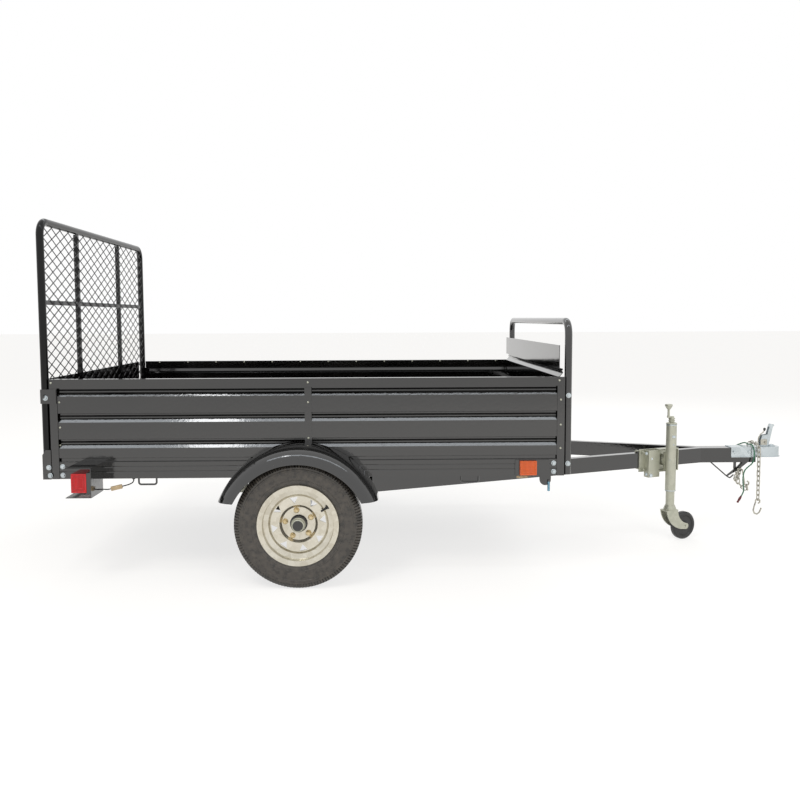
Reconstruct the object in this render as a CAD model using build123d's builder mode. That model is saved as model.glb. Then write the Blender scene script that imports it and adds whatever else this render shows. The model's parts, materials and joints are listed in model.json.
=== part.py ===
"""Single-axle utility trailer with steel sides, a folding mesh ramp gate and a swing-up jack.

Frame: millimetres, +X forward to the coupler, +Y left, +Z up, z = 0 on the ground.
The origin lies on the ground under the middle of the trailer's box.
"""
from build123d import *
from math import asin, atan2, cos, degrees, radians, sin, sqrt, tan
import os

os.makedirs("parts", exist_ok=True)

# ---------------------------------------------------------------- driving dimensions
fit_gap = 0.3             # gap between pieces that are bolted or welded together
pin_gap = 0.3             # radial clearance of a pin in its bore

bed_length = 2200.0       # outside, over the corner posts
bed_width = 1575.0        # outside, over the corner posts
rear_reach = 38.0         # how far the gate stands behind the bed
tongue_reach = 1310.0     # how far the coupler's lip stands ahead of the bed

sill_base = 440.0         # underside of the frame rails
sill_height = 72.0
sill_flange = 40.0
steel = 3.0               # wall of channels, angles and sheet
side_top = 868.0          # top of the top rails
top_rail_height = 38.0
top_rail_depth = 30.0
post_face = 32.0          # width of a corner post's outer flange
post_return = 40.0        # width of its inner flange
stake_width = 30.0
cross_width = 50.0

recess = 14.0             # depth of the corrugations
slope_height = 17.0
plank_pitch = 111.0       # one corrugated plank
rib_zone = 22.0           # recessed strip with a small rib, above each slope
side_slope_drop = 57.0    # from the sides' top down to their highest slope
side_slopes = 3
board_slope_drop = 120.0
board_slopes = 4

board_top = 1003.0        # top of the headboard's sheet
board_frame_top = 1121.0
hoop_tube = 32.0          # tube of the headboard hoop and of the gate's frame
hoop_wall = 2.0
hoop_radius = 60.0        # bend of those tubes, on the centre line

gate_top = 1551.0
gate_pivot_rise = 15.0    # hinge pins above the frame rails' underside
gate_brace = 19.0
gate_brace_shares = (0.294, 0.714)   # uprights, as shares of the width between the legs
gate_bar_height = 1194.0
cell_width = 101.6        # expanded metal, one diamond
cell_height = 47.0
strand = 3.0
hinge_pin = 12.0
hinge_plate_height = 127.0

axle_from_rear = 1062.0
tyre_gap = 47.5           # between the bed's side and the tyre
tyre_diameter = 535.0
tyre_width = 122.0
rim_diameter = 339.0      # over the flanges
rim_width = 116.0
axle_beam = 38.0
spindle = 25.0
spring_half = 255.0       # half the length between the spring's eyes
spring_width = 40.0
spring_eye_drop = 45.0    # spring eyes below the frame rails' underside
leaf = 6.0

fender_radius = 361.0
fender_drop = 35.0        # how far the arc's centre lies below the axle
fender_overhang = 34.5    # how far the fender covers the tyre on its outside
fender_half_angle = 68.0
fender_lip = 25.0
fender_bead = 4.0         # radius of the rolled edge

tongue_height = 76.0
tongue_thick = 38.0
tongue_wall = 3.0
tongue_bend = 425.0       # from the coupler's nose back to the rails' bend
tongue_overlap = 828.0    # how far the rails reach back under the bed
tongue_inset = 49.5       # from the bed's side in to the rails' rear ends
tongue_in_coupler = 131.0

ball_diameter = 50.8
socket_clearance = 0.5
coupler_wall = 3.5
coupler_length = 266.0
coupler_depth = 52.5      # from its flat top down to its skirt
nose_rise = 10.5          # top of the ball dome above the flat top
coupler_lip = 5.0         # flange round its lower edge
nose_radius = 38.0
lever_rise = 117.0
lever_width = 26.0

link_wire = 6.0           # safety chains
link_pitch = 25.0
link_width = 22.0
chain_bolt = 8.0
hook_wire = 8.0

harness_diameter = 7.0
lamp_lead_diameter = 5.0

jack_reach = 662.0        # from the bed's front to the jack's axis
jack_offset = 82.0        # jack tube's axis from the tongue rail's outer face
jack_tube = 51.0
jack_leg_tube = 42.0
jack_tube_low = 252.0
jack_tube_top = 590.0
jack_knob_top = 690.0
jack_trail = 84.0
jack_wheel_diameter = 140.0
jack_wheel_width = 36.0
jack_fork_rise = 18.0     # underside of the jack's leg above its wheel
jack_fork_wall = 5.0
fork_crown = 70.0          # length of the plate over the jack's wheel
running_gap = 3.0

tie_rear_inset = 403.0    # rod loops for straps, from the bed's ends
tie_front_inset = 407.0
tie_half = 38.0
tie_drop = 28.0
tie_rod = 8.0
lamp_inset = 110.0        # from the bed's rear end to the lamp guards
lamp_guard_length = 105.0
lamp_reach = 152.5        # how far the guards stand out from the bed
lamp_drop = 52.0          # how far they hang below the frame rails
lamp_width = 120.0
lamp_body_height = 86.0
lamp_body_depth = 20.0
lens_height = 80.0
lens_depth = 62.0
marker_inset = 158.0      # from the bed's front end to the middle of the side marker
marker_length = 72.0
marker_height = 61.0
marker_depth = 18.0
marker_plate_inset = 139.0
marker_plate_length = 148.0
marker_plate_height = 67.0
marker_plate_depth = 6.0
lug_inset = 80.0          # from the bed's front end to the middle of the tilt lock's lug
lug_width = 49.0
lug_drop = 43.0
lock_pin = 10.0

# ---------------------------------------------------------------- derived places
bed_rear = rear_reach - (bed_length + rear_reach + tongue_reach) / 2
bed_front = bed_rear + bed_length
half_bed = bed_width / 2
side_first_slope = side_top - side_slope_drop
board_first_slope = board_top - board_slope_drop
gate_pivot_height = sill_base + gate_pivot_rise
hinge_plate_top = sill_base + hinge_plate_height
spring_eye_height = sill_base - spring_eye_drop
track = bed_width + 2 * tyre_gap + tyre_width     # between the tyres' middle planes
fender_width = tyre_gap + tyre_width + fender_overhang
sill_top = sill_base + sill_height
rail_face = half_bed - steel - fit_gap       # outer face of frame rails and of the side sheets
rail_base = side_top - top_rail_height
cross_top = sill_top - steel - fit_gap
axle_x = bed_rear + axle_from_rear
axle_z = tyre_diameter / 2
gate_x = bed_rear - rear_reach + hoop_tube / 2
leg_y = half_bed - hoop_tube / 2
tongue_top = sill_base - fit_gap
tongue_base = tongue_top - tongue_height
nose_x = bed_front + tongue_reach - coupler_lip
bend_x = nose_x - tongue_bend
tongue_end_x = bed_front - tongue_overlap
tongue_rear_half = half_bed - tongue_inset
tongue_angle = degrees(atan2(tongue_rear_half - tongue_thick, bend_x - tongue_end_x))
coupler_x = nose_x - coupler_length
coupler_half = tongue_thick + fit_gap + coupler_wall
coupler_roof = tongue_top + fit_gap
coupler_skirt = coupler_roof + coupler_wall - coupler_depth
coupler_top = coupler_roof + coupler_wall + nose_rise
ball_x = nose_x - nose_radius
socket_radius = ball_diameter / 2 + socket_clearance
ball_z = coupler_top - coupler_wall - socket_radius

SIDES = (("right", -1), ("left", 1))


# ---------------------------------------------------------------- outlines
def sheet_outline(top, bottom, first_slope, slopes):
    """Outer face of a corrugated sheet, from top to bottom, as (depth, height) points."""
    points = [(recess, top)] if top <= first_slope + rib_zone else [(0, top)]
    for row in range(slopes):
        slope_top = first_slope - row * plank_pitch
        if slope_top + rib_zone < top:
            points += [(0, slope_top + rib_zone), (recess, slope_top + rib_zone - 4)]
        points += [(recess, slope_top + 13), (recess - 5, slope_top + 9), (recess, slope_top + 5)]
        points += [(recess, slope_top), (0, slope_top - slope_height)]
    flat_end = max(bottom + 18, slope_top - plank_pitch + rib_zone)
    points += [(0, flat_end), (recess, flat_end - 4), (recess, bottom)]
    return points


def sheet_section(points):
    """The closed section of a sheet whose outer face is the given points."""
    return points + [(depth + steel, height) for depth, height in reversed(points)]


def tongue_offset(x):
    """Distance of a tongue rail's outer face from the middle plane at x."""
    return tongue_thick + max(0.0, bend_x - x) * tan(radians(tongue_angle))


def cord_line(name, points):
    """A cord's centre line: straight runs joined by arcs as large as the two runs allow."""
    radii = []
    for before, corner, after in zip(points, points[1:], points[2:]):
        run_in = Vector(*corner) - Vector(*before)
        run_out = Vector(*after) - Vector(*corner)
        half_turn = radians(run_in.get_angle(run_out)) / 2
        radii.append(0.45 * min(run_in.length, run_out.length) / tan(half_turn))
    with BuildLine() as centre:
        FilletPolyline(*points, radius=radii)
    line = centre.wire()
    print(name, "length", round(line.length, 1), "radii", [round(radius) for radius in radii])
    return line


# ---------------------------------------------------------------- frame
rail_length = bed_length - 2 * (steel + fit_gap)
for side, sign in SIDES:
    face = sign * rail_face
    inner = sign * (rail_face - sill_flange)
    web = sign * (rail_face - steel)
    groove = sign * (rail_face - 1.5)
    with BuildPart() as frame_rail:
        with BuildSketch(Plane.YZ.offset(bed_rear + steel + fit_gap)):
            with BuildLine():
                Polyline(
                    (inner, sill_base), (face, sill_base),
                    (face, sill_base + 26), (groove, sill_base + 28), (groove, sill_base + 31),
                    (face, sill_base + 33), (face, sill_base + 47), (groove, sill_base + 49),
                    (groove, sill_base + 52), (face, sill_base + 54),
                    (face, sill_top), (inner, sill_top), (inner, sill_top - steel),
                    (web, sill_top - steel), (web, sill_base + steel), (inner, sill_base + steel),
                    close=True,
                )
            make_face()
        extrude(amount=rail_length)
    frame_rail.part.label = f"frame_rail_{side}"
    export_step(frame_rail.part, f"parts/frame_rail_{side}.step")

cross_half = rail_face - sill_flange - fit_gap
tab_half = rail_face - steel - fit_gap
# x of the web's rear face, x of the tab that reaches into the frame rails
CROSSMEMBERS = (
    (bed_rear, bed_rear + steel + fit_gap),
    (axle_x - spring_half - cross_width / 2, axle_x - spring_half - cross_width / 2),
    (tongue_end_x + 3, tongue_end_x + 3),
    (bed_front - cross_width, bed_front - cross_width),
)
with BuildPart() as crossmembers:
    for rear_x, tab_x in CROSSMEMBERS:
        with BuildSketch(Plane.XZ.offset(-cross_half)):
            with BuildLine():
                Polyline(
                    (rear_x, sill_base), (rear_x, cross_top), (rear_x + cross_width, cross_top),
                    (rear_x + cross_width, cross_top - steel), (rear_x + steel, cross_top - steel),
                    (rear_x + steel, sill_base + steel), (rear_x + cross_width, sill_base + steel),
                    (rear_x + cross_width, sill_base), close=True,
                )
            make_face()
        extrude(amount=2 * cross_half)
        with BuildSketch(Plane.XZ.offset(-tab_half)):
            with Locations((tab_x, sill_base + steel + fit_gap)):
                Rectangle(steel, cross_top - sill_base - steel - fit_gap,
                          align=(Align.MIN, Align.MIN))
        extrude(amount=2 * tab_half)
crossmembers.part.label = "crossmembers"
export_step(crossmembers.part, "parts/crossmembers.step")

# deck: a steel sheet with raised lengthwise ribs, between the frame rails
deck_rib = 40.0
deck_ribs = 12
deck_rise = 5.0
board_rear = bed_front - steel - fit_gap - recess - steel    # rear limit of the headboard's sheet
deck_points = [(-cross_half, cross_top + fit_gap)]
for rib in range(deck_ribs):
    middle = (rib - (deck_ribs - 1) / 2) * 2 * cross_half / deck_ribs
    deck_points += [
        (middle - deck_rib / 2, cross_top + fit_gap),
        (middle - deck_rib / 2 + deck_rise, cross_top + fit_gap + deck_rise),
        (middle + deck_rib / 2 - deck_rise, cross_top + fit_gap + deck_rise),
        (middle + deck_rib / 2, cross_top + fit_gap),
    ]
deck_points += [(cross_half, cross_top + fit_gap)]
with BuildPart() as deck:
    with BuildSketch(Plane.YZ.offset(bed_rear)):
        with BuildLine():
            Polyline(*deck_points, *[(y, z + steel) for y, z in reversed(deck_points)], close=True)
        make_face()
    extrude(amount=board_rear - fit_gap - bed_rear)
deck.part.label = "deck"
export_step(deck.part, "parts/deck.step")

# ---------------------------------------------------------------- sides
side_sheet = sheet_section(
    sheet_outline(rail_base - fit_gap, sill_top + fit_gap, side_first_slope, side_slopes)
)
for side, sign in SIDES:
    with BuildPart() as side_panel:
        with BuildSketch(Plane.YZ.offset(bed_rear + steel + fit_gap)):
            with BuildLine():
                Polyline(*[(sign * (rail_face - depth), z) for depth, z in side_sheet], close=True)
            make_face()
        extrude(amount=rail_length)
    side_panel.part.label = f"side_panel_{side}"
    export_step(side_panel.part, f"parts/side_panel_{side}.step")

    # top rail, corner posts and middle stake
    with BuildPart() as side_frame:
        with BuildSketch(Plane.YZ.offset(bed_rear)):
            with Locations((sign * (half_bed - top_rail_depth / 2), side_top - top_rail_height / 2)):
                Rectangle(top_rail_depth, top_rail_height)
                Rectangle(top_rail_depth - 2 * steel, top_rail_height - 2 * steel, mode=Mode.SUBTRACT)
        extrude(amount=bed_length)
        # x of the outer flange's start, x of the inner flange's start
        for flange_x, return_x in ((bed_rear, bed_rear), (bed_front - post_face, bed_front - steel)):
            with BuildSketch(Plane.XY.offset(sill_base)):
                with Locations((flange_x + post_face / 2, sign * (half_bed - steel / 2))):
                    Rectangle(post_face, steel)
                with Locations((return_x + steel / 2, sign * (half_bed - post_return / 2))):
                    Rectangle(steel, post_return)
            extrude(amount=rail_base - fit_gap - sill_base)
        with BuildSketch(Plane.XY.offset(sill_top)):
            with Locations((axle_x + 35, sign * (half_bed - steel / 2))):
                Rectangle(stake_width, steel)
        extrude(amount=rail_base - fit_gap - sill_top)
    side_frame.part.label = f"side_frame_{side}"
    export_step(side_frame.part, f"parts/side_frame_{side}.step")

# ---------------------------------------------------------------- headboard
board_x = bed_front + fit_gap + hoop_tube / 2
with BuildPart() as headboard_hoop:
    with BuildLine(Plane.YZ.offset(board_x)) as hoop_path:
        FilletPolyline(
            (-leg_y, sill_base + 4), (-leg_y, board_frame_top - hoop_tube / 2),
            (leg_y, board_frame_top - hoop_tube / 2), (leg_y, sill_base + 4), radius=hoop_radius,
        )
    with BuildSketch(Plane(origin=(board_x, -leg_y, sill_base + 4), z_dir=(0, 0, 1))):
        Circle(hoop_tube / 2)
        Circle(hoop_tube / 2 - hoop_wall, mode=Mode.SUBTRACT)
    sweep(path=hoop_path.wire())
headboard_hoop.part.label = "headboard_hoop"
export_step(headboard_hoop.part, "parts/headboard_hoop.step")

board_sheet = sheet_section(
    sheet_outline(board_top, sill_top + fit_gap, board_first_slope, board_slopes)
)
board_half = half_bed - top_rail_depth - fit_gap
board_face = board_rear
with BuildPart() as headboard_panel:
    with BuildSketch(Plane.XZ.offset(-board_half)):
        with BuildLine():
            Polyline(*[(board_face + depth, z) for depth, z in board_sheet], close=True)
        make_face()
    extrude(amount=2 * board_half)
headboard_panel.part.label = "headboard_panel"
export_step(headboard_panel.part, "parts/headboard_panel.step")

# ---------------------------------------------------------------- ramp gate
with BuildPart() as gate_frame:
    with BuildLine(Plane.YZ.offset(gate_x)) as gate_path:
        FilletPolyline(
            (-leg_y, gate_pivot_height), (-leg_y, gate_top - hoop_tube / 2),
            (leg_y, gate_top - hoop_tube / 2), (leg_y, gate_pivot_height), radius=hoop_radius,
        )
    with BuildSketch(Plane(origin=(gate_x, -leg_y, gate_pivot_height), z_dir=(0, 0, 1))):
        Circle(hoop_tube / 2)
    sweep(path=gate_path.wire())
    with Locations((gate_x, -leg_y, gate_pivot_height), (gate_x, leg_y, gate_pivot_height)):
        Sphere(hoop_tube / 2)
        Cylinder(hinge_pin / 2 + pin_gap, 2 * hoop_tube, rotation=(90, 0, 0), mode=Mode.SUBTRACT)
gate_frame.part.label = "gate_frame"
export_step(gate_frame.part, "parts/gate_frame.step")

# the braces stand behind the mesh, the mesh is the gate's inner face
mesh_front = gate_x + 12.5
brace_x = mesh_front - 2 * strand - 2 * fit_gap - gate_brace / 2
gate_low = hinge_plate_top + 8 + gate_brace / 2
brace_y = [-leg_y + share * 2 * leg_y for share in gate_brace_shares]
bar_half = leg_y - hoop_tube / 2 - fit_gap
with BuildPart() as gate_braces:
    with BuildSketch(Plane.XY.offset(gate_low)):
        for y in brace_y:
            with Locations((brace_x, y)):
                Rectangle(gate_brace, gate_brace)
    extrude(amount=gate_top - hoop_tube - fit_gap - gate_low)
    with BuildSketch(Plane.XZ.offset(-bar_half)):
        for z in (gate_bar_height, gate_low):
            with Locations((brace_x, z)):
                Rectangle(gate_brace, gate_brace)
    extrude(amount=2 * bar_half)
gate_braces.part.label = "gate_braces"
export_step(gate_braces.part, "parts/gate_braces.step")

# expanded metal as two layers of crossing strands, cut off at the frame's inside
mesh_half = leg_y - hoop_tube / 2 - fit_gap
mesh_low = gate_low - gate_brace / 2
mesh_high = gate_top - hoop_tube - fit_gap
mesh_mid = (mesh_low + mesh_high) / 2
rise = cell_height / cell_width
span = mesh_high - mesh_low + rise * 2 * mesh_half
rows = int(span / cell_height)
with BuildPart() as gate_mesh:
    for slope, layer_front in ((rise, mesh_front), (-rise, mesh_front - strand - fit_gap)):
        with BuildSketch(Plane.YZ.offset(layer_front - strand)):
            for row in range(rows):
                level = mesh_mid + (row - (rows - 1) / 2) * cell_height
                # ends of the strand z = level + slope * y inside the window
                ends = []
                for limit in (mesh_low, mesh_high):
                    reach = (limit - level) / slope
                    ends.append(max(-mesh_half, min(mesh_half, reach)))
                start, stop = min(ends), max(ends)
                if stop - start < cell_width / 2:
                    continue
                with BuildLine():
                    half = strand / 2 * sqrt(1 + rise * rise)
                    Polyline(
                        (start, level + slope * start - half), (stop, level + slope * stop - half),
                        (stop, level + slope * stop + half), (start, level + slope * start + half),
                        close=True,
                    )
                make_face()
        extrude(amount=strand)
    with BuildSketch(Plane(origin=(gate_x, -leg_y, gate_pivot_height), z_dir=(0, 0, 1))):
        Circle(hoop_tube / 2 + fit_gap)
    sweep(path=gate_path.wire(), mode=Mode.SUBTRACT)
gate_mesh.part.label = "gate_mesh"
export_step(gate_mesh.part, "parts/gate_mesh.step")

# hinge ears and latch ears on the corner posts, with their pins
ear = 4.0
ear_gap = 1.5
ear_inner = hoop_tube / 2 + ear_gap
ear_back = gate_x - hoop_tube / 2 + 2
latch_low = 765.0
latch_high = 826.0
for side, sign in SIDES:
    with BuildPart() as gate_bracket:
        for plate in (-1, 1):
            start = sign * leg_y + plate * (ear_inner + ear / 2)
            with BuildSketch(Plane.XZ.offset(-start - ear / 2)):
                with BuildLine():
                    Polyline(
                        (ear_back, sill_base), (bed_rear - fit_gap, sill_base),
                        (bed_rear - fit_gap, hinge_plate_top), (ear_back + 14, hinge_plate_top),
                        (ear_back, hinge_plate_top - 22), close=True,
                    )
                make_face()
            extrude(amount=ear)
        with Locations((gate_x, sign * leg_y, gate_pivot_height)):
            Cylinder(hinge_pin / 2, 2 * (ear_inner + ear + 4), rotation=(90, 0, 0))
        # latch plate on the post, and its plunger
        latch_y = leg_y + ear_inner
        with BuildSketch(Plane.XY.offset(latch_low)):
            with BuildLine():
                Polyline(
                    (ear_back, sign * latch_y), (bed_rear + 2, sign * latch_y),
                    (bed_rear + 2, sign * (half_bed + fit_gap)),
                    (bed_rear + 30, sign * (half_bed + fit_gap)),
                    (bed_rear + 30, sign * (latch_y + ear)), (ear_back, sign * (latch_y + ear)),
                    close=True,
                )
            make_face()
        extrude(amount=latch_high - latch_low)
        with Locations((gate_x, sign * (latch_y + ear + 7), (latch_low + latch_high) / 2)):
            Cylinder(8, 14, rotation=(90, 0, 0))
    gate_bracket.part.label = f"gate_brackets_{side}"
    export_step(gate_bracket.part, f"parts/gate_brackets_{side}.step")

# ---------------------------------------------------------------- fenders
fender_z = axle_z - fender_drop
fender_inner = half_bed + fit_gap
for side, sign in SIDES:
    with BuildPart() as fender:
        start = fender_half_angle
        with BuildSketch(Plane(origin=(axle_x, 0, fender_z),
                               x_dir=(0, sign, 0),
                               z_dir=(sign * cos(radians(start)), 0, sign * sin(radians(start))))):
            with BuildLine():
                Polyline(
                    (fender_inner, fender_radius - fender_lip - 15), (fender_inner, fender_radius),
                    (fender_inner + fender_width, fender_radius),
                    (fender_inner + fender_width, fender_radius - fender_lip),
                    (fender_inner + fender_width - steel, fender_radius - fender_lip),
                    (fender_inner + fender_width - steel, fender_radius - steel),
                    (fender_inner + steel, fender_radius - steel),
                    (fender_inner + steel, fender_radius - fender_lip - 15), close=True,
                )
            make_face()
            with Locations((fender_inner + fender_width - fender_bead,
                            fender_radius - fender_lip)):
                Circle(fender_bead)
        revolve(axis=Axis((axle_x, 0, fender_z), (0, 1, 0)), revolution_arc=2 * start)
    fender.part.label = f"fender_{side}"
    export_step(fender.part, f"parts/fender_{side}.step")

# ---------------------------------------------------------------- axle and springs
spring_y = rail_face - sill_flange / 2 - 2
wheel_y = track / 2
disc_y = wheel_y + 8          # mounting face of the wheel disc
hub_back_y = disc_y - 62
leaf_pitch = leaf + fit_gap / 3      # from one leaf's face to the next one's
leaf_top = axle_z + axle_beam / 2 + 2 * leaf_pitch + fit_gap
with BuildPart() as axle:
    with BuildSketch(Plane.XZ.offset(-(hub_back_y - running_gap))):
        with Locations((axle_x, axle_z)):
            RectangleRounded(axle_beam, axle_beam, 4)
    extrude(amount=2 * (hub_back_y - running_gap))
    with Locations((axle_x, 0, axle_z)):
        Cylinder(spindle / 2, 2 * (disc_y + 10), rotation=(90, 0, 0))
axle.part.label = "axle"
export_step(axle.part, "parts/axle.step")

eye_radius = 14.0
for side, sign in SIDES:
    middle_y = sign * spring_y
    with BuildPart() as spring:
        # main leaf with its eyes, and two shorter leaves below it
        sag = spring_eye_height - eye_radius - leaf_top
        main_radius = (spring_half ** 2 + sag ** 2) / (2 * sag)
        with BuildSketch(Plane.XZ.offset(-middle_y - spring_width / 2)):
            for order, share in enumerate((1.0, 0.7, 0.42)):
                outer = main_radius + order * leaf_pitch
                angle = degrees(asin(spring_half / main_radius)) * share
                with BuildLine():
                    centre = (axle_x, leaf_top + main_radius)
                    low = CenterArc(centre, outer, 270 - angle, 2 * angle)
                    high = CenterArc(centre, outer - leaf, 270 - angle, 2 * angle)
                    Line(low @ 0, high @ 0)
                    Line(low @ 1, high @ 1)
                make_face()
            with Locations((axle_x - spring_half, spring_eye_height),
                           (axle_x + spring_half, spring_eye_height)):
                Circle(eye_radius)
            with Locations((axle_x - spring_half, spring_eye_height),
                           (axle_x + spring_half, spring_eye_height)):
                Circle(7, mode=Mode.SUBTRACT)
        extrude(amount=spring_width)
    spring.part.label = f"leaf_spring_{side}"
    export_step(spring.part, f"parts/leaf_spring_{side}.step")

# a plate on each spring and its two U-bolts round the axle
clamp_rod = 10.0
clamp_plate = 6.0
clamp_half = axle_beam / 2 + clamp_rod / 2 + 1
with BuildPart() as clamps:
    for side, sign in SIDES:
        plate_base = leaf_top + leaf + fit_gap + 2
        with BuildSketch(Plane.XY.offset(plate_base)):
            with Locations((axle_x, sign * spring_y)):
                Rectangle(2 * clamp_half + 2 * clamp_rod, spring_width + 2 * clamp_rod + 8)
        extrude(amount=clamp_plate)
        for rod_x in (axle_x - clamp_half, axle_x + clamp_half):
            rod_y = spring_width / 2 + clamp_rod / 2 + 1
            foot_z = axle_z - axle_beam / 2 - clamp_rod / 2 - fit_gap
            start = (rod_x, sign * spring_y - rod_y, plate_base + clamp_plate + 12)
            with BuildLine() as rod_path:
                FilletPolyline(
                    start, (rod_x, sign * spring_y - rod_y, foot_z),
                    (rod_x, sign * spring_y + rod_y, foot_z),
                    (rod_x, sign * spring_y + rod_y, plate_base + clamp_plate + 12), radius=8,
                )
            with BuildSketch(Plane(origin=start, z_dir=(0, 0, -1))):
                Circle(clamp_rod / 2)
            sweep(path=rod_path.wire())
clamps.part.label = "spring_clamps"
export_step(clamps.part, "parts/spring_clamps.step")

with BuildPart() as hangers:
    for side, sign in SIDES:
        for eye_x in (axle_x - spring_half, axle_x + spring_half):
            for plate in (-1, 1):
                plate_y = sign * spring_y + plate * (spring_width / 2 + 1 + steel / 2)
                with BuildSketch(Plane.XZ.offset(-plate_y - steel / 2)):
                    with BuildLine():
                        Polyline(
                            (eye_x - 28, sill_base - fit_gap), (eye_x + 28, sill_base - fit_gap),
                            (eye_x + 16, spring_eye_height - 18),
                            (eye_x - 16, spring_eye_height - 18), close=True,
                        )
                    make_face()
                extrude(amount=steel)
            with Locations((eye_x, sign * spring_y, spring_eye_height)):
                Cylinder(7 - fit_gap, spring_width + 22, rotation=(90, 0, 0))
hangers.part.label = "spring_hangers"
export_step(hangers.part, "parts/spring_hangers.step")

# ---------------------------------------------------------------- wheels
rim_r = rim_diameter / 2
tread_r = tyre_diameter / 2
half_section = tyre_width / 2
half_rim = rim_width / 2
bead_r = 153.0
well_r = 130.0
rim_wall = 4.0
disc_face = disc_y - wheel_y
hub_back = hub_back_y - wheel_y
disc_windows = 8
window_radius = 101.0
window_turn = 10.0            # where the first window stands, from +X towards +Z
window_base = 34.0
window_height = 25.0
# offset from the wheel's middle plane, radius
TYRE_OUTLINE = (
    (-50, bead_r + 2.5), (-half_section, rim_r + 42), (-half_section + 4, tread_r - 22),
    (-46, tread_r), (46, tread_r), (half_section - 4, tread_r - 22),
    (half_section, rim_r + 42), (50, bead_r + 2.5),
)
RIM_OUTLINE = (
    (-half_rim, rim_r), (-53, rim_r), (-50, bead_r), (-22, bead_r - 3), (-16, well_r),
    (18, well_r), (26, bead_r - 3), (50, bead_r), (53, rim_r), (half_rim, rim_r),
    (53, bead_r - rim_wall), (28, bead_r - 3 - rim_wall), (20, well_r - rim_wall),
    (-18, well_r - rim_wall), (-24, bead_r - 3 - rim_wall), (-53, bead_r - rim_wall),
)
DISC_OUTLINE = (
    (disc_face, 37), (disc_face, 70), (disc_face + 10, 80), (disc_face + 10, 118),
    (disc_face + 4, 128), (disc_face, 128), (disc_face + 6, 116), (disc_face + 6, 82),
    (disc_face - rim_wall, 72), (disc_face - rim_wall, 37),
)
HUB_OUTLINE = (
    (hub_back, spindle / 2 + pin_gap), (hub_back, 36), (disc_face - 13, 36), (disc_face - 13, 66),
    (disc_face - rim_wall - fit_gap, 66), (disc_face - rim_wall - fit_gap, 33), (30, 33), (30, 27),
    (52, 27), (half_rim, 20), (half_rim, 0), (disc_face + 12, 0),
    (disc_face + 12, spindle / 2 + pin_gap),
)
wheel_axis = Axis((axle_x, 0, axle_z), (0, 1, 0))
for side, sign in SIDES:
    section = Plane(origin=(axle_x, 0, axle_z), x_dir=(0, sign, 0), z_dir=(1, 0, 0))
    with BuildPart() as tyre:
        with BuildSketch(section):
            with BuildLine():
                Polyline(*[(wheel_y + y, r) for y, r in TYRE_OUTLINE], close=True)
            make_face()
        revolve(axis=wheel_axis)
    tyre.part.label = f"tyre_{side}"
    export_step(tyre.part, f"parts/tyre_{side}.step")

    with BuildPart() as rim:
        for outline in (RIM_OUTLINE, DISC_OUTLINE):
            with BuildSketch(section):
                with BuildLine():
                    Polyline(*[(wheel_y + y, r) for y, r in outline], close=True)
                make_face()
            revolve(axis=wheel_axis)
        face_plane = Plane(origin=(axle_x, sign * (disc_y - 10), axle_z),
                           x_dir=(1, 0, 0), z_dir=(0, sign, 0))
        with BuildSketch(face_plane):
            # seen from +Y the angles run the other way
            with PolarLocations(window_radius, disc_windows, start_angle=-sign * window_turn):
                Polygon(
                    (window_height / 2, -window_base / 2), (window_height / 2, window_base / 2),
                    (-window_height / 2, 0), align=None,
                )
        extrude(amount=40, mode=Mode.SUBTRACT)
    rim.part.label = f"rim_{side}"
    export_step(rim.part, f"parts/rim_{side}.step")

    with BuildPart() as hub:
        with BuildSketch(section):
            with BuildLine():
                Polyline(*[(wheel_y + y, r) for y, r in HUB_OUTLINE], close=True)
            make_face()
        revolve(axis=wheel_axis)
    hub.part.label = f"hub_{side}"
    export_step(hub.part, f"parts/hub_{side}.step")

# ---------------------------------------------------------------- tongue
slant = radians(tongue_angle)


def tongue_plan(outer_depth, inner_depth):
    """Plan of a bent rail between two depths inside its outer face, as (x, distance) points."""
    points = []
    for depth in (outer_depth, inner_depth):
        face_points = [
            (coupler_x + tongue_in_coupler, tongue_thick - depth),
            (bend_x - (depth / cos(slant) - depth) / tan(slant), tongue_thick - depth),
            (tongue_end_x - depth * sin(slant), tongue_rear_half - depth * cos(slant)),
        ]
        points += face_points if depth == outer_depth else reversed(face_points)
    return points


for side, sign in SIDES:
    with BuildPart() as tongue_rail:
        with BuildSketch(Plane.XY.offset(tongue_base)):
            with BuildLine():
                Polyline(*[(x, sign * y) for x, y in tongue_plan(0, tongue_thick - fit_gap / 2)],
                         close=True)
            make_face()
        extrude(amount=tongue_height)
        with BuildSketch(Plane.XY.offset(tongue_base + tongue_wall)):
            with BuildLine():
                Polyline(*[(x, sign * y) for x, y in
                           tongue_plan(tongue_wall, tongue_thick - tongue_wall - fit_gap / 2)],
                         close=True)
            make_face()
        extrude(amount=tongue_height - 2 * tongue_wall, mode=Mode.SUBTRACT)
    tongue_rail.part.label = f"tongue_rail_{side}"
    export_step(tongue_rail.part, f"parts/tongue_rail_{side}.step")

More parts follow.
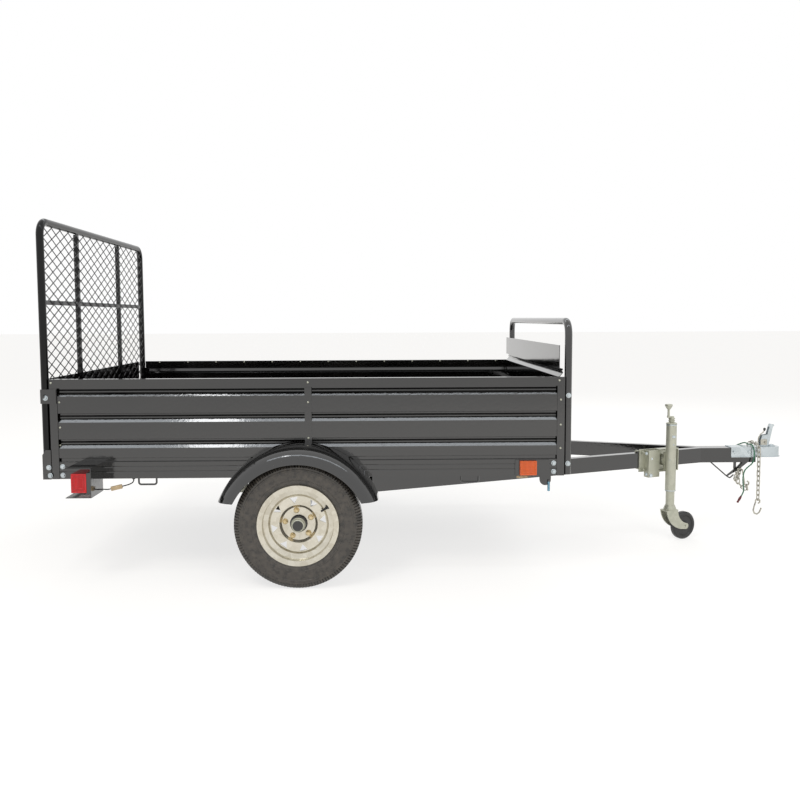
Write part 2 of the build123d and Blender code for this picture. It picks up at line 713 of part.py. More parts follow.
with BuildPart() as coupler:
    with BuildSketch(Plane.XY.offset(coupler_skirt)):
        with Locations(((coupler_x + ball_x) / 2, 0)):
            Rectangle(ball_x - coupler_x, 2 * coupler_half)
        with Locations((ball_x, 0)):
            Circle(nose_radius)
    extrude(amount=coupler_roof + coupler_wall - coupler_skirt)
    with BuildSketch(Plane.XY.offset(coupler_skirt)):
        with Locations(((coupler_x + ball_x) / 2, 0)):
            Rectangle(ball_x - coupler_x, 2 * (coupler_half + coupler_lip))
        with Locations((ball_x, 0)):
            Circle(nose_radius + coupler_lip)
    extrude(amount=coupler_wall)
    with Locations((ball_x, 0, ball_z)):
        Sphere(socket_radius + coupler_wall)
    with BuildSketch(Plane.XY.offset(coupler_skirt)):
        with Locations((coupler_x, 0)):
            Rectangle(ball_x - coupler_x - socket_radius - 2 * coupler_wall,
                      2 * (tongue_thick + fit_gap), align=(Align.MIN, Align.CENTER))
    extrude(amount=coupler_roof - coupler_skirt, mode=Mode.SUBTRACT)
    with Locations((ball_x, 0, ball_z)):
        Sphere(socket_radius, mode=Mode.SUBTRACT)
        Cylinder(socket_radius, ball_z - coupler_skirt, align=(Align.CENTER, Align.CENTER, Align.MAX),
                 mode=Mode.SUBTRACT)
coupler.part.label = "coupler"
export_step(coupler.part, "parts/coupler.step")

# a folded lever, open to the rear, that stands on the flat top behind the ball dome
lever_z = coupler_roof + coupler_wall + fit_gap
lever_top = lever_z + lever_rise
with BuildPart() as coupler_lever:
    with BuildSketch(Plane.XZ.offset(-lever_width / 2)):
        with BuildLine():
            Polyline(
                (ball_x - 62, lever_z), (ball_x - 24, lever_z), (ball_x - 18, lever_z + 9),
                (ball_x + 1, lever_top - 15), (ball_x + 8, lever_top - 8),
                (ball_x + 5, lever_top - 2), (ball_x - 10, lever_top),
                (ball_x - 15, lever_top - 12), (ball_x - 26, lever_top - 55),
                (ball_x - 54, lever_top - 60), (ball_x - 62, lever_z + 28), close=True,
            )
        make_face()
    extrude(amount=lever_width)
    with BuildSketch(Plane.XZ.offset(-lever_width / 2 + steel)):
        with BuildLine():
            Polyline(
                (ball_x - 70, lever_z + steel), (ball_x - 28, lever_z + steel),
                (ball_x - 22, lever_z + 12), (ball_x - 4, lever_top - 16),
                (ball_x - 40, lever_top - 16), (ball_x - 70, lever_z + 40), close=True,
            )
        make_face()
    extrude(amount=lever_width - 2 * steel, mode=Mode.SUBTRACT)
    with Locations((ball_x - 36, 0, lever_z + 26)):
        Cylinder(5, lever_width + 6, rotation=(90, 0, 0))
coupler_lever.part.label = "coupler_lever"
export_step(coupler_lever.part, "parts/coupler_lever.step")

# a rod and a flat bar that guard the nose's underside, with the bolt of the safety chains
skid_x = coupler_x - 92
skid_top = tongue_base - fit_gap
skid_low = skid_top - 79
skid_tip_x = skid_x + 88
skid_rod = 7.0
skid_plate = 8.0
chain_bolt_x = coupler_x + 55
chain_bolt_z = skid_top - 45
with BuildPart() as tongue_skid:
    with BuildSketch(Plane.XZ.offset(-skid_plate / 2)):
        with BuildLine():
            Polyline(
                (skid_tip_x - 1, skid_low - 3), (skid_tip_x + 22, skid_low + 11),
                (skid_tip_x + 52, skid_low + 29), (skid_tip_x + 82, skid_low + 51),
                (skid_tip_x + 116, skid_top), (skid_tip_x + 82, skid_top),
                (skid_tip_x + 52, skid_low + 49), (skid_tip_x - 1, skid_low + 5), close=True,
            )
        make_face()
        with Locations((chain_bolt_x, chain_bolt_z)):
            Circle(11)
        with Locations((chain_bolt_x - 18, skid_top)):
            Rectangle(13, 40, align=(Align.CENTER, Align.MAX))
    extrude(amount=skid_plate)
    with Locations((chain_bolt_x, -8, chain_bolt_z)):
        Cylinder(chain_bolt / 2, 54, rotation=(90, 0, 0))
    rod_points = [
        (skid_x, 0, skid_top - 3), (skid_tip_x, 0, skid_low),
        (skid_tip_x + 17, 0, skid_low - 10), (skid_tip_x + 36, 0, skid_low + 7),
    ]
    with BuildLine() as rod_line:
        FilletPolyline(*rod_points, radius=6)
    rod_start = Plane(origin=rod_points[0], z_dir=Vector(*rod_points[1]) - Vector(*rod_points[0]))
    with BuildSketch(rod_start):
        Circle(skid_rod / 2)
    sweep(path=rod_line.wire())
tongue_skid.part.label = "tongue_skid"
export_step(tongue_skid.part, "parts/tongue_skid.step")

# ---------------------------------------------------------------- safety chains
link_reach = (link_pitch + link_wire) / 2     # a link's middle to its end wire's line
link_half = (link_width - link_wire) / 2
link_corner = 3.6
with BuildPart() as link:
    with BuildLine() as link_line:
        Polyline(
            (0, link_half, 0), (-link_reach + link_corner, link_half, 0),
            (-link_reach, link_half - link_corner, 0), (-link_reach, link_corner - link_half, 0),
            (-link_reach + link_corner, -link_half, 0), (link_reach - link_corner, -link_half, 0),
            (link_reach, link_corner - link_half, 0), (link_reach, link_half - link_corner, 0),
            (link_reach - link_corner, link_half, 0), close=True,
        )
    with BuildSketch(Plane(origin=(0, link_half, 0), z_dir=(-1, 0, 0))):
        RegularPolygon(link_wire / 2, 6)
    sweep(path=link_line.wire(), transition=Transition.RIGHT)


def hang_links(start, runs):
    """Places of a chain's links from the point where its first end wire lies.

    Each run is a number of links and their direction. Every link lies at right angles to the one
    before it, and its end wire crosses the last one's a little apart.
    """
    places = []
    end = Vector(*start)
    side = Vector(1, 0, 0)
    last = None
    for count, *direction in runs:
        along = Vector(*direction).normalized()
        for _ in range(count):
            side = (side - along * side.dot(along)).normalized()
            across = along.cross(side) if len(places) % 2 else side
            middle = end + along * link_reach
            if last is not None:
                apart = last.cross(across).normalized()
                if apart.dot(along) < 0:
                    apart = -apart
                middle = middle - apart * link_wire
            places.append(Plane(origin=middle, x_dir=along, z_dir=along.cross(across)))
            end = middle + along * link_reach
            last = across
    return places, end


chain_start_z = chain_bolt_z + chain_bolt / 2 + link_wire / 2 + fit_gap
# name, y of the first link, runs of links (number, then direction), hook's centre line as
# (x, z) from the last link's end wire
CHAINS = (
    ("hung", 8.3, (
        (1, 0, 0, -1), (1, 0, 0.2, -1), (1, 0.15, 0.62, -0.7), (1, 0.25, 0.98, 0),
        (1, 0.33, 0.35, 0.82), (2, 0.34, 0, 0.94), (4, 0.34, -0.02, 0.94), (1, 0.26, -0.14, 0.98),
        (1, 0.15, -0.78, 0.74), (3, 0.03, -1, 0), (1, 0.02, -0.8, -0.64), (1, 0.02, -0.05, -0.99),
        (10, 0, 0, -1),
    ), (
        (2, -17), (11, -11), (11, 0), (4, 6.8), (-4, 6.8), (-11, 0), (-11, -11), (-17, -30),
        (-22, -52), (-16, -68), (-2, -73), (10, -64), (20, -40),
    )),
    ("gathered", -13.5, (
        (1, 0, 0, -1), (1, -0.12, 0, -1), (1, -0.08, -0.2, -1), (1, 0.48, 0.06, -0.49),
        (1, 0.52, -0.23, -0.32), (1, -0.12, 0.08, 0.88),
    ), (
        (2, 17), (11, 11), (11, 0), (4, -6.8), (-4, -6.8), (-11, 0), (-11, 11), (-24.5, 76),
        (-36.4, 83.2), (-47.5, 75), (-50.5, 57),
    )),
)
for name, start_y, runs, hook in CHAINS:
    places, end = hang_links((chain_bolt_x, start_y, chain_start_z), runs)
    with BuildPart() as chain:
        add([link.part.moved(place.location) for place in places])
        hook_points = [(end.X + x, end.Y, end.Z + z) for x, z in hook]
        with BuildLine() as hook_line:
            Polyline(*hook_points)
        hook_start = Vector(*hook_points[1]) - Vector(*hook_points[0])
        with BuildSketch(Plane(origin=hook_points[0], z_dir=hook_start)):
            RegularPolygon(hook_wire / 2, 6)
        sweep(path=hook_line.wire(), transition=Transition.RIGHT)
    chain.part.label = f"safety_chain_{name}"
    export_step(chain.part, f"parts/safety_chain_{name}.step")
    print(name, "chain:", len(places), "links,", len(chain.part.solids()), "solids, ends at", end)

# ---------------------------------------------------------------- lighting leads
grommet = 5.0
lead_front_x = coupler_x - 49
lead_front_z = 402.0
lead_y = tongue_thick + fit_gap + grommet
HARNESS_ROUTE = (
    (lead_front_x, lead_y, lead_front_z), (lead_front_x, lead_y + 23, lead_front_z),
    (lead_front_x + 38, lead_y + 31, 410), (lead_front_x + 94, lead_y + 29, 424),
    (lead_front_x + 138, 62, 447), (lead_front_x + 153, 34, 459), (lead_front_x + 157, 0, 452),
    (lead_front_x + 159, -34, 459), (lead_front_x + 162, -58, 436), (lead_front_x + 163, -60, 392),
    (lead_front_x + 156, -57, 360), (lead_front_x + 138, -52, 344), (lead_front_x + 118, -48, 322),
    (lead_front_x + 112, -47, 288), (lead_front_x + 113, -47, 254), (lead_front_x + 119, -46, 226),
    (lead_front_x + 117, -45, 204), (lead_front_x + 107, -45, 187),
)
harness_line = cord_line("harness lead", HARNESS_ROUTE)
with BuildPart() as harness_lead:
    with BuildSketch(Plane(origin=harness_line @ 0, z_dir=harness_line % 0)):
        Circle(harness_diameter / 2)
    sweep(path=harness_line)
harness_lead.part.label = "harness_lead"
export_step(harness_lead.part, "parts/harness_lead.step")
plug_length = 42.0
plug_end = Vector(*HARNESS_ROUTE[-1])
plug_way = (plug_end - Vector(*HARNESS_ROUTE[-2])).normalized()
with BuildPart() as harness_plug:
    with BuildSketch(Plane(origin=plug_end, x_dir=(0, 1, 0), z_dir=plug_way)):
        Rectangle(10, 15)
    extrude(amount=plug_length * 0.62)
    with BuildSketch(Plane(origin=plug_end + plug_way * plug_length * 0.62, x_dir=(0, 1, 0),
                           z_dir=plug_way)):
        Rectangle(8, 13)
    extrude(amount=plug_length * 0.38)
harness_plug.part.label = "harness_plug"
export_step(harness_plug.part, "parts/harness_plug.step")

tail_lead_inset = 342.0
tail_lead_x = bed_rear + tail_lead_inset
tail_lead_z = sill_base - fit_gap - grommet
# steps from the grommet under the frame rail: forward, outward, down
TAIL_LEAD_ROUTE = ((0, 0, 0), (0, 0, -11), (-13, 5, -20), (-30.7, 10.6, -24.9), (-46, 14, -28))
LAMP_LEAD_ROUTE = ((-91, 24, -37), (-103.5, 26.8, -39.5), (-115, 33, -37), (-126.8, 33, -37))
tail_lead_y = rail_face - 16
with BuildPart() as lead_grommets:
    with Locations((lead_front_x, tongue_thick + fit_gap + grommet / 2, lead_front_z)):
        Cylinder(8, grommet, rotation=(90, 0, 0))
    for side, sign in SIDES:
        with Locations((tail_lead_x, sign * tail_lead_y, tail_lead_z + grommet / 2)):
            Cylinder(6, grommet)
lead_grommets.part.label = "lead_grommets"
export_step(lead_grommets.part, "parts/lead_grommets.step")
for side, sign in SIDES:
    with BuildPart() as lamp_lead:
        for name, steps in (("tail lead", TAIL_LEAD_ROUTE), ("lamp lead", LAMP_LEAD_ROUTE)):
            lead_line = cord_line(f"{name} {side}", [
                (tail_lead_x + x, sign * (tail_lead_y + y), tail_lead_z + z) for x, y, z in steps])
            with BuildSketch(Plane(origin=lead_line @ 0, z_dir=lead_line % 0)):
                Circle(lamp_lead_diameter / 2)
            sweep(path=lead_line)
    lamp_lead.part.label = f"lamp_lead_{side}"
    export_step(lamp_lead.part, f"parts/lamp_lead_{side}.step")
with BuildPart() as lamp_connectors:
    for side, sign in SIDES:
        ends = [Vector(tail_lead_x + x, sign * (tail_lead_y + y), tail_lead_z + z)
                for x, y, z in (TAIL_LEAD_ROUTE[-1], LAMP_LEAD_ROUTE[0])]
        with BuildSketch(Plane(origin=ends[0], z_dir=ends[1] - ends[0])):
            Rectangle(15, 17)
        extrude(amount=(ends[1] - ends[0]).length)
lamp_connectors.part.label = "lamp_connectors"
export_step(lamp_connectors.part, "parts/lamp_connectors.step")

# ---------------------------------------------------------------- jack
# its own plane: +x along the right tongue rail, +y towards the rail, z = 0 on the ground
jack_axis_x = bed_front + jack_reach
jack_axis_y = -(tongue_offset(jack_axis_x) + jack_offset / cos(slant))
jack_ground = Plane(origin=(jack_axis_x, jack_axis_y, 0), x_dir=(cos(slant), sin(slant), 0),
                    z_dir=(0, 0, 1))
jack_edge = Plane(origin=(jack_axis_x, jack_axis_y, 0), x_dir=(cos(slant), sin(slant), 0),
                  z_dir=(sin(slant), -cos(slant), 0))     # its normal points away from the rail
pivot_z = tongue_base + tongue_height / 2
pivot_pin = 10.0
plate_rear = 134.0             # the bracket's back plate along the rail, from the jack's axis
plate_front = 84.0
plate_wall = 6.0
pan_wall = 5.0
pan_half = 57.0                # the stamped pan's half height
pan_face = 40.0                # its front, from the jack's axis
hat_rear = 104.0               # the upright channel pressed beside the pan
hat_front = 36.0
hat_up = 54.0
hat_down = 82.0
base_plate_y = jack_offset - fit_gap - plate_wall      # outer side of the bracket's back plate
pivot_pipe = 28.0
pipe_back = base_plate_y - 10
saddle_y = 31.0
saddle_half = 22.0
clamp_rod_jack = 10.0
clamp_up = tongue_height / 2 + clamp_rod_jack / 2 + fit_gap     # U-bolt's legs from the pivot
clamp_places = (-plate_rear + 16, plate_front - 20)
with BuildPart() as jack_bracket:
    with BuildSketch(jack_edge.offset(-base_plate_y - plate_wall)):
        with Locations(((plate_front - plate_rear) / 2, pivot_z)):
            Rectangle(plate_front + plate_rear, 2 * pan_half)
        for along in clamp_places:
            with Locations((along, pivot_z + clamp_up), (along, pivot_z - clamp_up)):
                Circle(clamp_rod_jack / 2 + fit_gap, mode=Mode.SUBTRACT)
    extrude(amount=plate_wall)
    # the upright channel
    with BuildSketch(jack_ground.offset(pivot_z - hat_down)):
        with Locations(((-hat_rear - hat_front) / 2, (pan_face + base_plate_y) / 2)):
            Rectangle(hat_rear - hat_front, base_plate_y - pan_face)
        with Locations(((-hat_rear - hat_front) / 2, (pan_face + pan_wall + base_plate_y) / 2)):
            Rectangle(hat_rear - hat_front - 2 * pan_wall, base_plate_y - pan_face - pan_wall,
                      mode=Mode.SUBTRACT)
    extrude(amount=hat_up + hat_down)
    # the pan's upper, lower and front flanges
    for flange_z in (pivot_z - pan_half, pivot_z + pan_half - pan_wall):
        with BuildSketch(jack_ground.offset(flange_z)):
            with Locations(((plate_front - hat_front) / 2, (pan_face + base_plate_y) / 2)):
                Rectangle(plate_front + hat_front, base_plate_y - pan_face)
        extrude(amount=pan_wall)
    with BuildSketch(jack_ground.offset(pivot_z - pan_half)):
        with Locations((plate_front - pan_wall / 2, (pan_face + base_plate_y) / 2)):
            Rectangle(pan_wall, base_plate_y - pan_face)
    extrude(amount=2 * pan_half)
    with BuildSketch(jack_edge.offset(-base_plate_y)):
        with Locations((0, pivot_z)):
            Circle(pivot_pipe)
    extrude(amount=base_plate_y - pipe_back - fit_gap)
    with BuildSketch(jack_edge.offset(-base_plate_y)):
        with Locations((0, pivot_z)):
            Circle(pivot_pin)
    extrude(amount=base_plate_y - saddle_y - 3)
jack_bracket.part.label = "jack_bracket"
export_step(jack_bracket.part, "parts/jack_bracket.step")

with BuildPart() as jack_clamps:
    for along in clamp_places:
        clamp_points = [jack_ground.from_local_coords(local) for local in (
            (along, base_plate_y - 16, pivot_z + clamp_up),
            (along, jack_offset + tongue_thick + clamp_rod_jack / 2 + 1, pivot_z + clamp_up),
            (along, jack_offset + tongue_thick + clamp_rod_jack / 2 + 1, pivot_z - clamp_up),
            (along, base_plate_y - 16, pivot_z - clamp_up),
        )]
        with BuildLine() as clamp_line:
            FilletPolyline(*clamp_points, radius=6)
        with BuildSketch(Plane(origin=clamp_points[0], z_dir=-jack_edge.z_dir)):
            Circle(clamp_rod_jack / 2)
        sweep(path=clamp_line.wire())
jack_clamps.part.label = "jack_clamps"
export_step(jack_clamps.part, "parts/jack_clamps.step")

tube_r = jack_tube / 2
with BuildPart() as jack_swivel:
    with BuildSketch(jack_edge.offset(-pipe_back)):
        with Locations((0, pivot_z)):
            Circle(pivot_pipe)
    extrude(amount=pipe_back - saddle_y)
    with BuildSketch(jack_ground.offset(pivot_z - 45)):
        with Locations((0, saddle_y)):
            Rectangle(2 * saddle_half, saddle_y - 8, align=(Align.CENTER, Align.MAX))
        Circle(tube_r + fit_gap, mode=Mode.SUBTRACT)
    extrude(amount=90)
    with BuildSketch(jack_edge.offset(-pipe_back)):
        with Locations((0, pivot_z)):
            Circle(pivot_pin + pin_gap)
    extrude(amount=pipe_back - saddle_y - 2, mode=Mode.SUBTRACT)
jack_swivel.part.label = "jack_swivel"
export_step(jack_swivel.part, "parts/jack_swivel.step")

with BuildPart() as jack_tube_part:
    with BuildSketch(jack_ground.offset(jack_tube_low)):
        Circle(tube_r)
        Circle(jack_leg_tube / 2 + 0.8, mode=Mode.SUBTRACT)
    extrude(amount=jack_tube_top - jack_tube_low)
jack_tube_part.part.label = "jack_tube"
export_step(jack_tube_part.part, "parts/jack_tube.step")

# a rolled cap, a ribbed hub, and a short arm that carries the grip
crank_arm = 20.0
hub_low = jack_tube_top + 9
stem_foot = hub_low + 30
with BuildPart() as jack_crank:
    with BuildSketch(jack_edge):
        with BuildLine():
            Polyline(
                (0, jack_tube_top + fit_gap), (tube_r, jack_tube_top + fit_gap),
                (tube_r + 2, jack_tube_top + 2), (tube_r + 1, jack_tube_top + 5), (17, hub_low),
                (13, hub_low + 2), (13, hub_low + 5), (16.5, hub_low + 7), (16.5, hub_low + 10),
                (13, hub_low + 12), (13, hub_low + 15), (16.5, hub_low + 17),
                (16.5, hub_low + 20), (12, hub_low + 23), (12, stem_foot - 1),
                (0, stem_foot - 1), close=True,
            )
        make_face()
    revolve(axis=Axis((jack_axis_x, jack_axis_y, 0), (0, 0, 1)))
    with BuildSketch(jack_ground.offset(stem_foot - 6)):
        with Locations((-crank_arm / 2, 0)):
            SlotOverall(crank_arm + 16, 16)
    extrude(amount=6)
    grip_axis = jack_ground.from_local_coords((-crank_arm, 0, 0))
    with BuildSketch(jack_edge):
        with BuildLine():
            Polyline(
                (-crank_arm, stem_foot - 3), (6 - crank_arm, stem_foot - 3),
                (5.5 - crank_arm, jack_knob_top - 27), (9 - crank_arm, jack_knob_top - 24),
                (18.5 - crank_arm, jack_knob_top - 8), (18 - crank_arm, jack_knob_top - 1),
                (15 - crank_arm, jack_knob_top), (-crank_arm, jack_knob_top), close=True,
            )
        make_face()
    revolve(axis=Axis(grip_axis, (0, 0, 1)))
jack_crank.part.label = "jack_crank"
export_step(jack_crank.part, "parts/jack_crank.step")

wheel_r = jack_wheel_diameter / 2
fork_top = jack_wheel_diameter + jack_fork_rise
leg_foot = 24.0
leg_reach = 240.0                # how far the leg runs up inside the tube
kingpin = 8.0
fork_inner = jack_wheel_width / 2 + running_gap
with BuildPart() as jack_leg:
    with BuildSketch(jack_edge):
        with BuildLine():
            Polyline(
                (0, fork_top + fit_gap), (31, fork_top + fit_gap), (31, fork_top + 6),
                (jack_leg_tube / 2 + 2, fork_top + leg_foot), (jack_leg_tube / 2, fork_top + leg_foot),
                (jack_leg_tube / 2, jack_tube_low + leg_reach), (0, jack_tube_low + leg_reach),
                close=True,
            )
        make_face()
    revolve(axis=Axis((jack_axis_x, jack_axis_y, 0), (0, 0, 1)))
    with BuildSketch(jack_ground.offset(fork_top - 12)):
        Circle(kingpin)
    extrude(amount=12 + leg_foot)
    with BuildSketch(jack_ground.offset(fork_top - 12)):
        Circle(kingpin + 4)
    extrude(amount=12 - 6 - fit_gap)
jack_leg.part.label = "jack_leg"
export_step(jack_leg.part, "parts/jack_leg.step")

with BuildPart() as jack_fork:
    with BuildSketch(jack_ground.offset(fork_top - 6)):
        with Locations((-3, 0)):
            Rectangle(fork_crown, 2 * (fork_inner + jack_fork_wall))
        Circle(kingpin + pin_gap, mode=Mode.SUBTRACT)
    extrude(amount=6)
    for cheek in (-fork_inner - jack_fork_wall, fork_inner):
        with BuildSketch(jack_edge.offset(cheek)):
            with BuildLine():
                Line((32, fork_top), (-38, fork_top))
                ThreePointArc((-38, fork_top), (-6, wheel_r + 18), (jack_trail - 8, wheel_r - 14))
                ThreePointArc((jack_trail - 8, wheel_r - 14), (jack_trail + 14, wheel_r - 6),
                              (jack_trail + 8, wheel_r + 13))
                ThreePointArc((jack_trail + 8, wheel_r + 13), (jack_trail - 36, wheel_r + 38),
                              (32, fork_top))
            make_face()
        extrude(amount=jack_fork_wall)
    with BuildSketch(jack_edge.offset(-fork_inner - jack_fork_wall - 3)):
        with Locations((jack_trail, wheel_r)):
            Circle(6)
    extrude(amount=2 * (fork_inner + jack_fork_wall + 3))
jack_fork.part.label = "jack_fork"
export_step(jack_fork.part, "parts/jack_fork.step")

wheel_centre = jack_edge.from_local_coords((jack_trail, wheel_r, 0))
# offset from the wheel's middle plane, radius
JACK_WHEEL_OUTLINE = (
    (-jack_wheel_width / 2, 6 + pin_gap), (-jack_wheel_width / 2, 20), (-11, 24), (-11, 48),
    (-jack_wheel_width / 2 + 2, 52), (-jack_wheel_width / 2 + 2, wheel_r - 8), (-8, wheel_r),
    (8, wheel_r), (jack_wheel_width / 2 - 2, wheel_r - 8), (jack_wheel_width / 2 - 2, 52),
    (11, 48), (11, 24), (jack_wheel_width / 2, 20), (jack_wheel_width / 2, 6 + pin_gap),
)
with BuildPart() as jack_wheel:
    with BuildSketch(Plane(origin=wheel_centre, x_dir=jack_edge.z_dir, z_dir=jack_edge.x_dir)):
        with BuildLine():
            Polyline(*JACK_WHEEL_OUTLINE, close=True)
        make_face()
    revolve(axis=Axis(wheel_centre, jack_edge.z_dir))
jack_wheel.part.label = "jack_wheel"
export_step(jack_wheel.part, "parts/jack_wheel.step")

# ---------------------------------------------------------------- lamps and small fittings
lamp_rear = bed_rear + lamp_inset
lamp_front = lamp_rear + lamp_guard_length       # forward plate of the lamp's guard
lamp_outer = half_bed + lamp_reach
lamp_low = sill_base - lamp_drop
lamp_high = sill_top - fit_gap
guard_inner = rail_face + fit_gap
lamp_mid_y = (guard_inner + lamp_outer) / 2 + 3
lamp_mid_z = (lamp_low + lamp_high) / 2 - 3
for side, sign in SIDES:
    with BuildPart() as lamp_guard:
        with BuildSketch(Plane.XZ.offset(-guard_inner if sign > 0 else lamp_outer)):
            with BuildLine():
                Polyline(
                    (lamp_rear, lamp_low), (lamp_front, lamp_low), (lamp_front, lamp_high),
                    (lamp_rear, lamp_high), (lamp_rear, lamp_high - steel),
                    (lamp_front - steel, lamp_high - steel), (lamp_front - steel, lamp_low + steel),
                    (lamp_rear, lamp_low + steel), close=True,
                )
            make_face()
        extrude(amount=-(lamp_outer - guard_inner))
        with Locations((lamp_front - steel - fit_gap, sign * lamp_mid_y, lamp_mid_z)):
            Box(lamp_body_depth, lamp_width, lamp_body_height,
                align=(Align.MAX, Align.CENTER, Align.CENTER))
    lamp_guard.part.label = f"lamp_guard_{side}"
    export_step(lamp_guard.part, f"parts/lamp_guard_{side}.step")

with BuildPart() as lamp_lenses:
    for side, sign in SIDES:
        lens_x = lamp_front - steel - 2 * fit_gap - lamp_body_depth
        with Locations((lens_x, sign * lamp_mid_y, lamp_mid_z)):
            Box(lens_depth, lamp_width, lens_height,
                align=(Align.MAX, Align.CENTER, Align.CENTER))
lamp_lenses.part.label = "tail_lamp_lenses"
export_step(lamp_lenses.part, "parts/tail_lamp_lenses.step")

marker_mid_z = sill_base + sill_height / 2
with BuildPart() as marker_bases:
    for side, sign in SIDES:
        with Locations((bed_front - marker_plate_inset, sign * (rail_face + fit_gap), marker_mid_z)):
            Box(marker_plate_length, marker_plate_depth, marker_plate_height,
                align=(Align.CENTER, Align.MIN if sign > 0 else Align.MAX, Align.CENTER))
marker_bases.part.label = "side_marker_bases"
export_step(marker_bases.part, "parts/side_marker_bases.step")

with BuildPart() as markers:
    for side, sign in SIDES:
        lens_y = rail_face + marker_plate_depth + 2 * fit_gap
        with Locations((bed_front - marker_inset, sign * lens_y, marker_mid_z)):
            Box(marker_length, marker_depth, marker_height,
                align=(Align.CENTER, Align.MIN if sign > 0 else Align.MAX, Align.CENTER))
markers.part.label = "side_markers"
export_step(markers.part, "parts/side_markers.step")

# half-round lugs under the frame, each with the pin that keeps the bed from tipping
lug_x = bed_front - lug_inset
lug_y = rail_face - 4
lug_plate = 6.0
tilt_pin_length = 48.0
with BuildPart() as tilt_lugs:
    for side, sign in SIDES:
        with BuildSketch(Plane.XZ.offset(-lug_y if sign > 0 else lug_y - lug_plate)):
            with Locations((lug_x, sill_base - fit_gap)):
                Rectangle(lug_width, lug_drop - lug_width / 2, align=(Align.CENTER, Align.MAX))
            with Locations((lug_x, sill_base - fit_gap - lug_drop + lug_width / 2)):
                Circle(lug_width / 2)
            with Locations((lug_x, sill_base - fit_gap)):
                Rectangle(lug_width, lug_width, align=(Align.CENTER, Align.MIN),
                          mode=Mode.SUBTRACT)
        extrude(amount=lug_plate)
        with Locations((lug_x + 14, sign * (lug_y + lock_pin / 2 - 0.5), sill_base - 43)):
            Cylinder(lock_pin / 2, tilt_pin_length)
tilt_lugs.part.label = "tilt_lugs"
export_step(tilt_lugs.part, "parts/tilt_lugs.step")

with BuildPart() as tie_loops:
    for side, sign in SIDES:
        for loop_x in (bed_rear + tie_rear_inset, bed_front - tie_front_inset):
            loop_y = sign * (rail_face - 12)
            start = (loop_x - tie_half, loop_y, sill_base - fit_gap)
            with BuildLine() as loop_path:
                FilletPolyline(start, (loop_x - tie_half, loop_y, sill_base - tie_drop),
                               (loop_x + tie_half, loop_y, sill_base - tie_drop),
                               (loop_x + tie_half, loop_y, sill_base - fit_gap), radius=10)
            with BuildSketch(Plane(origin=start, z_dir=(0, 0, -1))):
                Circle(tie_rod / 2)
            sweep(path=loop_path.wire())
tie_loops.part.label = "tie_loops"
export_step(tie_loops.part, "parts/tie_loops.step")
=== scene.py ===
"""Utility trailer: looks, small fittings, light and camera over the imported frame."""
import itertools
import json
import math

import bmesh
import bpy
from mathutils import Matrix, Vector
from mathutils.bvhtree import BVHTree


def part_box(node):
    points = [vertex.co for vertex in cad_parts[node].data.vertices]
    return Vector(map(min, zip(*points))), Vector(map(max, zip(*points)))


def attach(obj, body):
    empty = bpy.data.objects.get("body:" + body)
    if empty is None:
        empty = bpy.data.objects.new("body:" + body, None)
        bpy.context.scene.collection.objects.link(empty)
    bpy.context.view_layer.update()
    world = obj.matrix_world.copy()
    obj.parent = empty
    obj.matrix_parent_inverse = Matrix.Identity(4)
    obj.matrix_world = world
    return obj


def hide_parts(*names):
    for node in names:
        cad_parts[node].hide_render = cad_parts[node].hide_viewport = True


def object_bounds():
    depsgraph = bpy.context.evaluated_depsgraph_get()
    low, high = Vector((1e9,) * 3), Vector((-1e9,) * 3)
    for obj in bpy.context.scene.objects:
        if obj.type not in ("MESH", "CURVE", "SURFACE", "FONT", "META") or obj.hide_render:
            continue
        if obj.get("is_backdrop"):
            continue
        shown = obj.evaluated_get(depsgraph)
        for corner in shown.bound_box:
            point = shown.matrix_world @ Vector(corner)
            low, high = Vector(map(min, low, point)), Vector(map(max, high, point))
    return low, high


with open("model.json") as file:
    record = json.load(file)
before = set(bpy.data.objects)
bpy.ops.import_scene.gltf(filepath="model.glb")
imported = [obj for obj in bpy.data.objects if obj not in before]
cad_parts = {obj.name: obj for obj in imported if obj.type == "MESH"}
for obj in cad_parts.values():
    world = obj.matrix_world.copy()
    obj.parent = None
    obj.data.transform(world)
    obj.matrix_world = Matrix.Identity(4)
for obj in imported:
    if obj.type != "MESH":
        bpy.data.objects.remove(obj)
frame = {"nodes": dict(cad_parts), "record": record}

bl_info = {
    "name": "Utility Trailer",
    "version": (1, 0, 0),
    "blender": (4, 5, 0),
    "location": "View3D > Sidebar > Trailer",
    "description": "Finishes, small fittings and studio for a utility trailer",
    "category": "Object",
}

SIDES = (("right", -1), ("left", 1))


# ------------------------------------------------------------------ settings

class TrailerFinish(bpy.types.PropertyGroup):
    edge_radius: bpy.props.FloatProperty(
        name="Edge radius", description="Rounding of folded sheet and tube edges",
        default=0.0016, min=0.0, max=0.01, unit="LENGTH")


class TrailerTyres(bpy.types.PropertyGroup):
    shoulder_lugs: bpy.props.IntProperty(
        name="Shoulder lugs", description="Number of small lugs round each shoulder",
        default=132, min=24, max=240)
    slot_depth: bpy.props.FloatProperty(
        name="Slot depth", description="Depth of the slots between the shoulder lugs",
        default=0.0055, min=0.0, max=0.012, unit="LENGTH")
    nuts: bpy.props.IntProperty(
        name="Wheel nuts", description="Number of nuts that hold each wheel",
        default=5, min=3, max=8)
    nut_circle: bpy.props.FloatProperty(
        name="Nut circle", description="Diameter of the circle that the wheel nuts stand on",
        default=0.1143, min=0.05, max=0.2, unit="LENGTH")


class TrailerBed(bpy.types.PropertyGroup):
    kick_plate_top: bpy.props.FloatProperty(
        name="Kick plate top", description="Height of the upper edge of the gate's kick plate",
        default=0.866, min=0.6, max=1.2, unit="LENGTH")
    fender_steps: bpy.props.IntProperty(
        name="Fender steps", description="Number of steps along each fender's arch",
        default=72, min=12, max=200)


